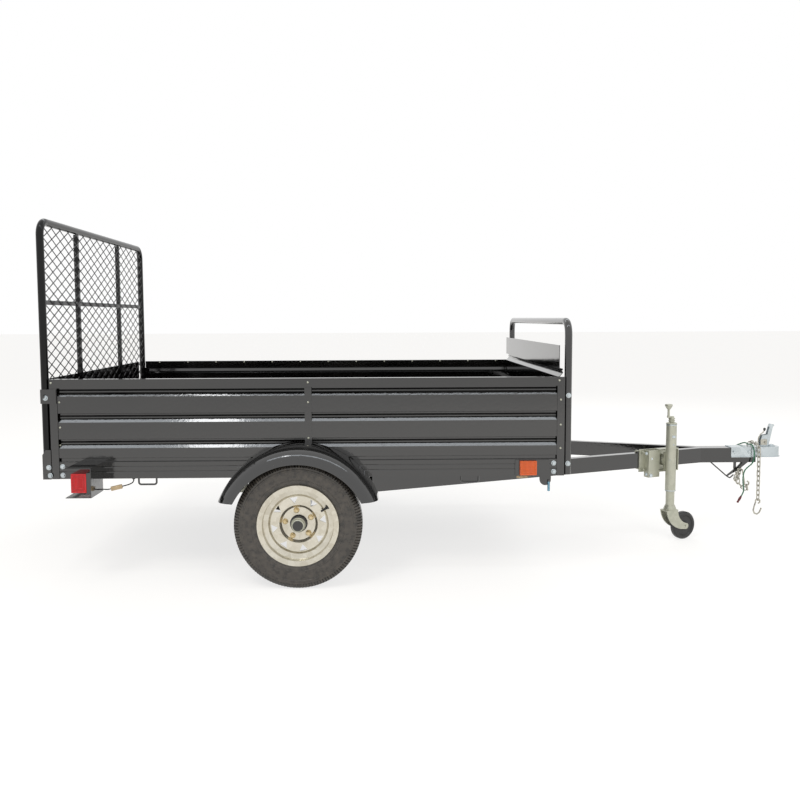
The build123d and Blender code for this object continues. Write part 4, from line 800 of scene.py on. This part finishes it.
# x, z of the hexagon bolts and of the rivets on each side
BOLTS = ((-1.691, 0.493), (-1.690, 0.456), (-1.746, 0.491), (-1.741, 0.457),
         (0.419, 0.494), (0.419, 0.457), (0.480, 0.492), (0.480, 0.788), (-1.751, 0.789))
RIVETS = ((-1.696, 0.770), (-1.696, 0.662), (-1.701, 0.584), (-0.639, 0.850), (-0.639, 0.765),
          (-0.639, 0.610), (0.447, 0.770), (0.447, 0.662), (0.447, 0.560), (-1.728, 0.853),
          (0.440, 0.853))
# rivets inside each top rail, and their distance under its upper edge
RAIL_RIVETS = 13
RAIL_RIVET_DROP = 0.007


class OBJECT_OT_fasteners(bpy.types.Operator):
    """Makes the bolts and rivets of the bed's sides, its hoop and its gate's brackets"""
    bl_idname = "trailer.fasteners"
    bl_label = "Fasteners"

    def execute(self, context):
        settings = context.scene.trailer_fasteners
        for side, sign in SIDES:
            trees = [node_tree(name) for name in (
                f"side_frame_{side}", f"side_panel_{side}", f"frame_rail_{side}",
                "headboard_hoop", f"gate_brackets_{side}")]
            out = Vector((0, sign, 0))
            shape = bmesh.new()
            for x, z in BOLTS:
                place = seat(trees, (x, sign * 1.2, z), -out)
                add_bolt(shape, place, out, settings.head, settings.washer)
            from_bmesh(f"bed_bolts_{side}", shape, "trailer", finish("zinc_bright"))
            shape = bmesh.new()
            for x, z in RIVETS:
                place = seat(trees, (x, sign * 1.2, z), -out)
                add_rivet(shape, place, out, settings.rivet)
            low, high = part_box(f"side_frame_{side}")
            for i in range(RAIL_RIVETS):
                x = low[0] + (high[0] - low[0]) * (i + 0.5) / RAIL_RIVETS
                place = seat(trees, (x, 0.0, high[2] - RAIL_RIVET_DROP), out)
                add_rivet(shape, place, -out, settings.rivet)
            from_bmesh(f"bed_rivets_{side}", shape, "trailer", finish("galvanised"))
        return {"FINISHED"}


# distance across the fender from its inner edge, distance under its crown
FENDER_SECTION = (
    (0.0, 0.0), (0.066, 0.0), (0.118, 0.0006), (0.140, 0.003), (0.158, 0.0085), (0.174, 0.018),
    (0.187, 0.0315), (0.196, 0.046), (0.2005, 0.057), (0.2030, 0.0600), (0.2038, 0.0625),
    (0.2028, 0.0650), (0.2004, 0.0656), (0.1984, 0.0640), (0.1972, 0.0610), (0.1930, 0.0480),
    (0.1842, 0.0340), (0.1718, 0.0208), (0.1565, 0.0115), (0.1390, 0.0060), (0.1178, 0.0036),
    (0.066, 0.0030), (0.0, 0.0030),
)
FENDER_RADIUS = 0.361


class OBJECT_OT_fenders(bpy.types.Operator):
    """Makes both fenders as one arched sheet with a rounded shoulder and a rolled edge"""
    bl_idname = "trailer.fenders"
    bl_label = "Fenders"

    def execute(self, context):
        settings = context.scene.trailer_bed
        for side, sign in SIDES:
            low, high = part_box(f"fender_{side}")
            middle = (low[0] + high[0]) / 2
            radius = FENDER_RADIUS
            foot = radius * math.cos(math.asin(min(1.0, (high[0] - low[0]) / 2 / radius)))
            inner = low[1] if sign > 0 else high[1]
            shape = bmesh.new()
            rings = []
            count = settings.fender_steps
            for i in range(count + 1):
                ring = []
                for across, under in FENDER_SECTION:
                    r = radius - under
                    # both ends are cut level, so the inner lines of the arch end sooner
                    angle = math.acos(foot / r) * (2 * i / count - 1)
                    ring.append(shape.verts.new((
                        middle + r * math.sin(angle), inner + sign * across,
                        high[2] - radius + r * math.cos(angle))))
                rings.append(ring)
            add_skin(shape, rings)
            fender = from_bmesh(f"fender_sheet_{side}", shape, "trailer",
                                finish("powder_black"), 50)
            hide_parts(f"fender_{side}")
        return {"FINISHED"}


# half the width of the gate's kick plate, and the pitch of the nine rivets along its edge
KICK_PLATE_HALF = 0.742
KICK_PLATE_PITCH = 0.165
# section of the bead inside each side panel: distance inward from the sheet, height
BEAD_SECTION = ((0.0, 0.828), (0.003, 0.828), (0.0165, 0.8085), (0.0165, 0.8055),
                (0.0140, 0.8050), (0.0, 0.8100))


class OBJECT_OT_bed_trim(bpy.types.Operator):
    """Makes the gate's kick plate and the folded beads inside the side panels"""
    bl_idname = "trailer.bed_trim"
    bl_label = "Bed trim"

    def execute(self, context):
        settings = context.scene.trailer_bed
        low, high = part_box("gate_braces")
        shape = bmesh.new()
        thick = 0.0014
        face = low[0] - 0.0001
        top = settings.kick_plate_top
        bottom = low[2] + 0.004
        add_slab(shape, (face - thick / 2, 0, (top + bottom) / 2),
                 (thick, 2 * KICK_PLATE_HALF, top - bottom), 0.0004)
        for i in range(-4, 5):
            add_rivet(shape, (face - thick, i * KICK_PLATE_PITCH, top - 0.012), (-1, 0, 0), 0.0044)
        from_bmesh("gate_kick_plate", shape, "gate", finish("powder_black"))
        for side, sign in SIDES:
            low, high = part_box(f"side_panel_{side}")
            inner = low[1] if sign > 0 else high[1]
            shape = bmesh.new()
            add_skin(shape, [[shape.verts.new((x, inner - sign * a, z)) for a, z in BEAD_SECTION]
                             for x in (low[0] + 0.02, high[0] - 0.02)])
            from_bmesh(f"panel_bead_{side}", shape, "trailer", finish("powder_black"),
                       30)
        return {"FINISHED"}


# ------------------------------------------------------------------ lights

# the tail lens's inner edge from the middle, and the foot of the pin that locks the bed's tilt
TAIL_LENS_INNER = 0.8053
TILT_PIN = (0.398, 0.7847, 0.3722)
# distance of the marker's connector and of its wires from the trailer's middle
CONNECTOR_OUT = 0.7765
CONNECTOR_WIRES_OUT = 0.7745


class OBJECT_OT_lights(bpy.types.Operator):
    """Makes the lenses' frames, ribs and screws, the markers' connectors and the tilt pins"""
    bl_idname = "trailer.lights"
    bl_label = "Lights"

    def execute(self, context):
        lights = context.scene.trailer_lights
        # the frames and ribs are a lighter red and amber than the lenses and glow a little more:
        # painted highlight
        red = lens_finish("lens_red_rib_highlight", [1.25 * c + 0.012 for c in lights.red], 0.14)
        amber = lens_finish("lens_amber_rib_highlight", [1.1 * c + 0.02 for c in lights.amber], 0.14)
        low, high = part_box("tail_lamp_lenses")
        marker_low, marker_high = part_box("side_markers")
        for side, sign in SIDES:
            out = Vector((0, sign, 0))
            shape = bmesh.new()
            middle = Vector(((low[0] + high[0]) / 2, sign * high[1], (low[2] + high[2]) / 2))
            wide, tall = high[0] - low[0], high[2] - low[2]
            add_frame(shape, middle + out * 0.0008, (wide - 0.002, tall - 0.002), 0.005, 0.0026, 1)
            add_frame(shape, middle + out * 0.0006, (wide * 0.56, tall * 0.56), 0.0026, 0.0016, 1)
            for i in range(-3, 4):
                add_slab(shape, middle + Vector((i * 0.0045, sign * 0.0004, 0)),
                         (0.0016, 0.0012, tall * 0.46), 0.0003)
            rear = Vector((low[0], sign * (high[1] + TAIL_LENS_INNER) / 2,
                           (low[2] + high[2]) / 2))
            across = high[1] - TAIL_LENS_INNER
            add_frame(shape, rear - Vector((0.0008, 0, 0)), (across - 0.002, tall - 0.002),
                      0.005, 0.0026, 0)
            add_frame(shape, rear - Vector((0.0006, 0, 0)), (across * 0.42, tall * 0.62),
                      0.003, 0.0016, 0)
            for i in range(-5, 6):
                add_slab(shape, rear + Vector((-0.0004, i * 0.0042, 0)),
                         (0.0012, 0.0016, tall * 0.54), 0.0003)
            for dx, dz in ((-1, -1), (1, 1), (-1, 1), (1, -1)):
                add_rivet(shape, middle + Vector((dx * wide * 0.37, sign * 0.0002,
                                                  dz * tall * 0.38)), out, 0.0065, 1)
                add_rivet(shape, rear + Vector((-0.0002, dx * across * 0.36, dz * tall * 0.38)),
                          (-1, 0, 0), 0.0065, 1)
            from_bmesh(f"tail_lens_frame_{side}", shape, "trailer",
                       [red, finish("zinc_bright")], 30)
            # marker: rim, ribbed middle and two screws
            shape = bmesh.new()
            middle = Vector(((marker_low[0] + marker_high[0]) / 2, sign * marker_high[1],
                             (marker_low[2] + marker_high[2]) / 2))
            wide, tall = marker_high[0] - marker_low[0], marker_high[2] - marker_low[2]
            add_frame(shape, middle + out * 0.0006, (wide - 0.001, tall - 0.001), 0.004,
                      0.0024, 1)
            for i in range(-3, 4):
                add_slab(shape, middle + Vector((0, sign * 0.0004, i * 0.0062)),
                         (wide * 0.62, 0.0016, 0.0022), 0.0004)
            add_frame(shape, middle + out * 0.0006, (wide * 0.34, tall * 0.36), 0.002, 0.0022, 1)
            for dx in (-1, 1):
                add_rivet(shape, middle + Vector((dx * wide * 0.42, sign * 0.0016, 0)), out,
                          0.007, 1)
            from_bmesh(f"marker_lens_frame_{side}", shape, "trailer",
                       [amber, finish("zinc_bright")], 30)
            # the marker's connector under the sill, with its short lead
            shape = bmesh.new()
            for x, z, size, chamfer in ((0.276, 0.4345, (0.026, 0.013, 0.0108), 0.0012),
                                        (0.298, 0.4349, (0.019, 0.010, 0.0084), 0.001),
                                        (0.262, 0.4353, (0.006, 0.0146, 0.0086), 0.0008)):
                add_slab(shape, (x, sign * CONNECTOR_OUT, z), size, chamfer)
            add_tube(shape, [(x, sign * CONNECTOR_WIRES_OUT, z) for x, z in (
                (0.307, 0.4352), (0.315, 0.4362), (0.322, 0.4382))], 0.0014, 8, 1)
            from_bmesh(f"marker_connector_{side}", shape, "trailer",
                       [finish("connector_tan"), finish("cable_black")], 30)
            # plated pin of the bed's tilt lock
            shape = bmesh.new()
            x, y, z = TILT_PIN
            add_lathe(shape, (x, sign * y, z), (0, 0, 1),
                      [(0.0, 0.0046), (0.0012, 0.0056), (0.0400, 0.0056), (0.0412, 0.0050)], 24)
            from_bmesh(f"tilt_pin_{side}", shape, "trailer", finish("blued_zinc"))
        return {"FINISHED"}


# ------------------------------------------------------------------ jack and coupler

class OBJECT_OT_jack_fittings(bpy.types.Operator):
    """Makes the jack's collars, its stop clip and rivets, and its bracket's bolts"""
    bl_idname = "trailer.jack_fittings"
    bl_label = "Jack fittings"

    def execute(self, context):
        low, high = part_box("jack_tube")
        axis = (Vector(low) + Vector(high)) / 2
        radius = (high[0] - low[0]) / 2
        out = Vector((0, -1, 0))
        shape = bmesh.new()
        # rolled collars at both ends of the tube
        upright = Matrix.Translation((axis[0], axis[1], 0))
        lip = 0.0006
        for z, tall in ((high[2] - 0.0065, 0.006), (low[2] + 0.001, 0.005)):
            add_skin(shape, [ring_at(shape, upright, height, radius + out_by, 56)
                             for height, out_by in ((z, 0), (z + lip, 0.0011),
                                                    (z + tall - lip, 0.0011), (z + tall, 0))],
                     caps=False)
        from_bmesh("jack_collars", shape, "jack", finish("zinc_bright"))
        # stop clip on the tube's wall and the rivets below it
        shape = bmesh.new()
        for dx, z, wide, tall, skin in ((0.004, 0.5270, 0.017, 0.010, 1),
                                        (0.004, 0.5330, 0.020, 0.0024, 0)):
            add_slab(shape, (axis[0] + dx, axis[1] - radius - 0.0005, z), (wide, 0.0036, tall),
                     0.0008, skin=skin)
        add_rivet(shape, (axis[0] + 0.004, axis[1] - radius + 0.0004, 0.488), out, 0.0075, 1)
        add_rivet(shape, (axis[0] - 0.012, axis[1] - radius + 0.0032, 0.412), out, 0.0060, 0)
        from_bmesh("jack_clip", shape, "jack", [finish("zinc_bright"), finish("steel_black")])
        # bolts and nuts on the swing bracket, and a thin dark disc on it, painted shade standing
        # in for its open hole
        tree = [node_tree("jack_bracket")]
        shape = bmesh.new()
        for x, z, across in ((1.0265, 0.3290, 0.0155), (1.0085, 0.4400, 0.0125),
                             (1.0085, 0.3340, 0.0125), (1.0880, 0.3980, 0.0150)):
            add_bolt(shape, seat(tree, (x, -0.6, z), (0, 1, 0)), out, across, across * 1.3)
        place = seat(tree, (1.0310, -0.6, 0.4140), (0, 1, 0))
        add_lathe(shape, place, out, [(0.0, 0.0062), (0.0004, 0.0062)], 24, skin=1)
        from_bmesh("jack_bracket_bolts", shape, "trailer",
                   [finish("zinc_bright"), finish("steel_black")])
        return {"FINISHED"}


class OBJECT_OT_coupler_fittings(bpy.types.Operator):
    """Makes the coupler's side bolts and its latch with trigger and knob"""
    bl_idname = "trailer.coupler_fittings"
    bl_label = "Coupler fittings"

    def execute(self, context):
        tree = [node_tree("coupler")]
        shape = bmesh.new()
        for sign in (-1, 1):
            out = Vector((0, sign, 0))
            for x in (1.5185, 1.597):
                place = seat(tree, (x, sign * 0.2, 0.420), -out)
                add_bolt(shape, place, out, 0.0150, 0.0195)
        from_bmesh("coupler_bolts", shape, "trailer", finish("zinc_bright"))
        # latch: a cheek and a bolt on each side of the lever, sprung trigger and knob
        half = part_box("coupler_lever")[1][1] + 0.0008
        shape = bmesh.new()
        for sign in (-1, 1):
            add_slab(shape, (1.6840, sign * half, 0.4660), (0.034, 0.0022, 0.030), 0.0009)
            add_bolt(shape, (1.6905, sign * (half + 0.0011), 0.4655), (0, sign, 0), 0.011, 0.014)
        add_tube(shape, [(1.6650, 0.0, 0.4650), (1.6630, 0.0, 0.4860), (1.6740, 0.0, 0.5060),
                         (1.6880, 0.0, 0.5180), (1.6930, 0.0, 0.5290)], 0.0032, 12)
        from_bmesh("coupler_latch", shape, "trailer", finish("chain_zinc"))
        shape = bmesh.new()
        bmesh.ops.create_uvsphere(shape, u_segments=20, v_segments=14, radius=0.0068,
                                  matrix=Matrix.Translation((1.6935, 0.0, 0.5330)))
        add_lathe(shape, (1.6925, 0.0, 0.5230), (0.1, 0, 1), [(0.0, 0.0040), (0.006, 0.0052)], 16)
        from_bmesh("latch_knob", shape, "trailer", finish("roller_black"))
        return {"FINISHED"}


# half the floor's width, and the strength of its white for the rays that see the background
FLOOR_HALF = 60
FLOOR_GLOW = 1.45
# the camera's yaw, pitch and roll in degrees, its place from the wheel's middle, its shift
CAMERA_TURN = (1.131, 4.560, 0.217)
CAMERA_PLACE = (0.3272, -4.4653, 1.1244)
CAMERA_SHIFT = (0.00843, -0.01703)
# the lamps above the sides and what they aim at: distance from the middle, height
SIDE_LAMP = (2.25, 5.0)
SIDE_AIM = (0.8, 0.6)
WARM, COOL = (1.0, 0.98, 0.95), (0.86, 0.93, 1.0)


class SCENE_OT_stage(bpy.types.Operator):
    """Makes the floor, the lights, the surroundings and the camera"""
    bl_idname = "trailer.stage"
    bl_label = "Stage"

    def execute(self, context):
        settings = context.scene.trailer_stage
        scene = context.scene
        self.camera(scene, settings)
        self.floor()
        self.surroundings(scene)
        self.lights(settings)
        scene.view_settings.view_transform = "Standard"
        return {"FINISHED"}

    def floor(self):
        mesh = bpy.data.meshes.new("floor")
        mesh.from_pydata([(x * FLOOR_HALF, y * FLOOR_HALF, 0) for x, y in (
            (-1, -1), (1, -1), (1, 1), (-1, 1))], [], [(0, 1, 2, 3)])
        plane = bpy.data.objects.new("floor", mesh)
        bpy.context.scene.collection.objects.link(plane)
        material = bpy.data.materials.new("floor_pale")
        material.use_nodes = True
        nodes, links = material.node_tree.nodes, material.node_tree.links
        shader = nodes["Principled BSDF"]
        shader.inputs["Base Color"].default_value = (0.66, 0.64, 0.61, 1)
        shader.inputs["Roughness"].default_value = 0.9
        shader.inputs["Specular IOR Level"].default_value = 0.1
        # half of the floor's own shading stays, so that it keeps the object's shadow
        white = nodes.new("ShaderNodeEmission")
        white.inputs["Strength"].default_value = FLOOR_GLOW
        blend = nodes.new("ShaderNodeMixShader")
        blend.inputs[0].default_value = 0.5
        shown = nodes.new("ShaderNodeMixShader")
        links.new(self.background_rays(nodes, links), shown.inputs[0])
        wire(links, (shader, 0, blend, 1), (white, 0, blend, 2), (shader, 0, shown, 1),
             (blend, 0, shown, 2), (shown, 0, nodes["Material Output"], "Surface"))
        mesh.materials.append(material)
        plane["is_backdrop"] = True

    def surroundings(self, scene):
        world = bpy.data.worlds.new("surroundings")
        scene.world = world
        world.use_nodes = True
        nodes, links = world.node_tree.nodes, world.node_tree.links
        soft = nodes["Background"]
        soft.inputs["Color"].default_value = (1.0, 0.99, 0.97, 1)
        soft.inputs["Strength"].default_value = 0.62
        white = nodes.new("ShaderNodeBackground")
        white.inputs["Color"].default_value = (1, 1, 1, 1)
        shown = nodes.new("ShaderNodeMixShader")
        links.new(self.background_rays(nodes, links), shown.inputs[0])
        wire(links, (soft, 0, shown, 1), (white, 0, shown, 2),
             (shown, 0, nodes["World Output"], "Surface"))

    def background_rays(self, nodes, links):
        """1 for the rays that see the white background: camera, glossy and transmission."""
        path = nodes.new("ShaderNodeLightPath")
        first, second = (nodes.new("ShaderNodeMath") for _ in range(2))
        first.operation = second.operation = "MAXIMUM"
        wire(links, (path, "Is Camera Ray", first, 0), (path, "Is Glossy Ray", first, 1),
             (first, "Value", second, 0), (path, "Is Transmission Ray", second, 1))
        return second.outputs["Value"]

    def lights(self, settings):
        fill = settings.fill_power
        for name, place, aim, size, power, colour in (
                ("key", (-2.2, -4.2, 5.0), (0.0, 0.0, 0.5), 2.0, settings.key_power, WARM),
                ("fill", (2.5, -7.0, 3.5), (0.2, 0, 0.5), 3.5, fill, WARM),
                ("back", (1.5, 5.5, 4.5), (0.2, 0, 0.5), 3.0, fill * 0.6, (0.95, 0.98, 1.0))):
            self.lamp(name, place, aim, (size,), power, colour, False)
        # a long strip and a small spot above each side, which reflections show
        for name, x, aim_x, size, power, colour in (
                ("strip", 0.0, 0.0, (7.0, 0.5), 27.0, COOL),
                ("spot", -1.9, -1.3, (0.55,), 6.0, (1, 1, 1))):
            for side, sign in SIDES:
                self.lamp(f"{name}_{side}", (x, sign * SIDE_LAMP[0], SIDE_LAMP[1]),
                          (aim_x, sign * SIDE_AIM[0], SIDE_AIM[1]), size, power, colour, True)

    def lamp(self, name, place, aim, size, power, colour, mirrored):
        """A round lamp of one size, or a rectangle of two."""
        lamp = bpy.data.lights.new(name, "AREA")
        lamp.size = size[0]
        lamp.shape = "DISK"
        if len(size) == 2:
            lamp.shape = "RECTANGLE"
            lamp.size_y = size[1]
        lamp.energy = power
        lamp.color = colour
        obj = bpy.data.objects.new(name, lamp)
        bpy.context.scene.collection.objects.link(obj)
        obj.visible_glossy = mirrored
        obj.location = place
        obj.rotation_euler = (Vector(aim) - Vector(place)).to_track_quat("-Z", "Y").to_euler()

    def camera(self, scene, settings):
        lens = bpy.data.cameras.new("camera")
        camera = bpy.data.objects.new("camera", lens)
        scene.collection.objects.link(camera)
        scene.camera = camera
        yaw, pitch, roll = (math.radians(turn) for turn in CAMERA_TURN)
        forward = Vector((math.sin(yaw) * math.cos(pitch), math.cos(yaw) * math.cos(pitch),
                          -math.sin(pitch)))
        right = forward.cross(Vector((0, 0, 1))).normalized()
        up = right.cross(forward)
        rolled = right * math.cos(roll) - up * math.sin(roll)
        upward = up * math.cos(roll) + right * math.sin(roll)
        turn = Matrix((rolled, upward, -forward)).transposed()
        place = Vector(CAMERA_PLACE) + Vector((middle_of("tyre_right")[0], 0, 0))
        camera.matrix_world = Matrix.Translation(place) @ turn.to_4x4()
        lens.sensor_width = 36.0
        lens.lens = settings.lens
        lens.shift_x, lens.shift_y = CAMERA_SHIFT
        lens.clip_end = 200.0


class VIEW3D_PT_trailer(bpy.types.Panel):
    """Buttons and settings of the trailer"""
    bl_label = "Trailer"
    bl_idname = "VIEW3D_PT_trailer"
    bl_space_type = "VIEW_3D"
    bl_region_type = "UI"
    bl_category = "Trailer"

    def draw(self, context):
        for name, group in GROUP_CLASSES:
            box = self.layout.box()
            for setting in group.__annotations__:
                box.prop(getattr(context.scene, name), setting)
        for operator in OPERATORS:
            self.layout.operator(operator.bl_idname)


GROUP_CLASSES = (("trailer_finish", TrailerFinish), ("trailer_tyres", TrailerTyres),
                 ("trailer_bed", TrailerBed), ("trailer_fasteners", TrailerFasteners),
                 ("trailer_lights", TrailerLights),
                 ("trailer_leads", TrailerLeads), ("trailer_stage", TrailerStage))
OPERATORS = (SCENE_OT_stage, OBJECT_OT_leads, OBJECT_OT_finish_frame, OBJECT_OT_tyres,
             OBJECT_OT_wheel_fittings, OBJECT_OT_fenders, OBJECT_OT_bed_trim,
             OBJECT_OT_fasteners, OBJECT_OT_lights, OBJECT_OT_jack_fittings,
             OBJECT_OT_coupler_fittings)


def register():
    for name, group in GROUP_CLASSES:
        bpy.utils.register_class(group)
        setattr(bpy.types.Scene, name, bpy.props.PointerProperty(type=group))
    for operator in OPERATORS:
        bpy.utils.register_class(operator)
    bpy.utils.register_class(VIEW3D_PT_trailer)


def unregister():
    bpy.utils.unregister_class(VIEW3D_PT_trailer)
    for operator in reversed(OPERATORS):
        bpy.utils.unregister_class(operator)
    for name, group in reversed(GROUP_CLASSES):
        delattr(bpy.types.Scene, name)
        bpy.utils.unregister_class(group)


def corners():
    """The lowest and highest corner of what is shown, as plain lists."""
    low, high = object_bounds()
    return [list(low), list(high)]


def main():
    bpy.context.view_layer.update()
    register()
    bpy.ops.trailer.stage()
    bpy.ops.trailer.leads()
    bpy.ops.trailer.finish_frame()
    bpy.ops.trailer.tyres()
    bpy.ops.trailer.wheel_fittings()
    bpy.ops.trailer.fenders()
    bpy.ops.trailer.bed_trim()
    bpy.ops.trailer.fasteners()
    bpy.ops.trailer.lights()
    bpy.ops.trailer.jack_fittings()
    bpy.ops.trailer.coupler_fittings()


if __name__ == "__main__":
    main()
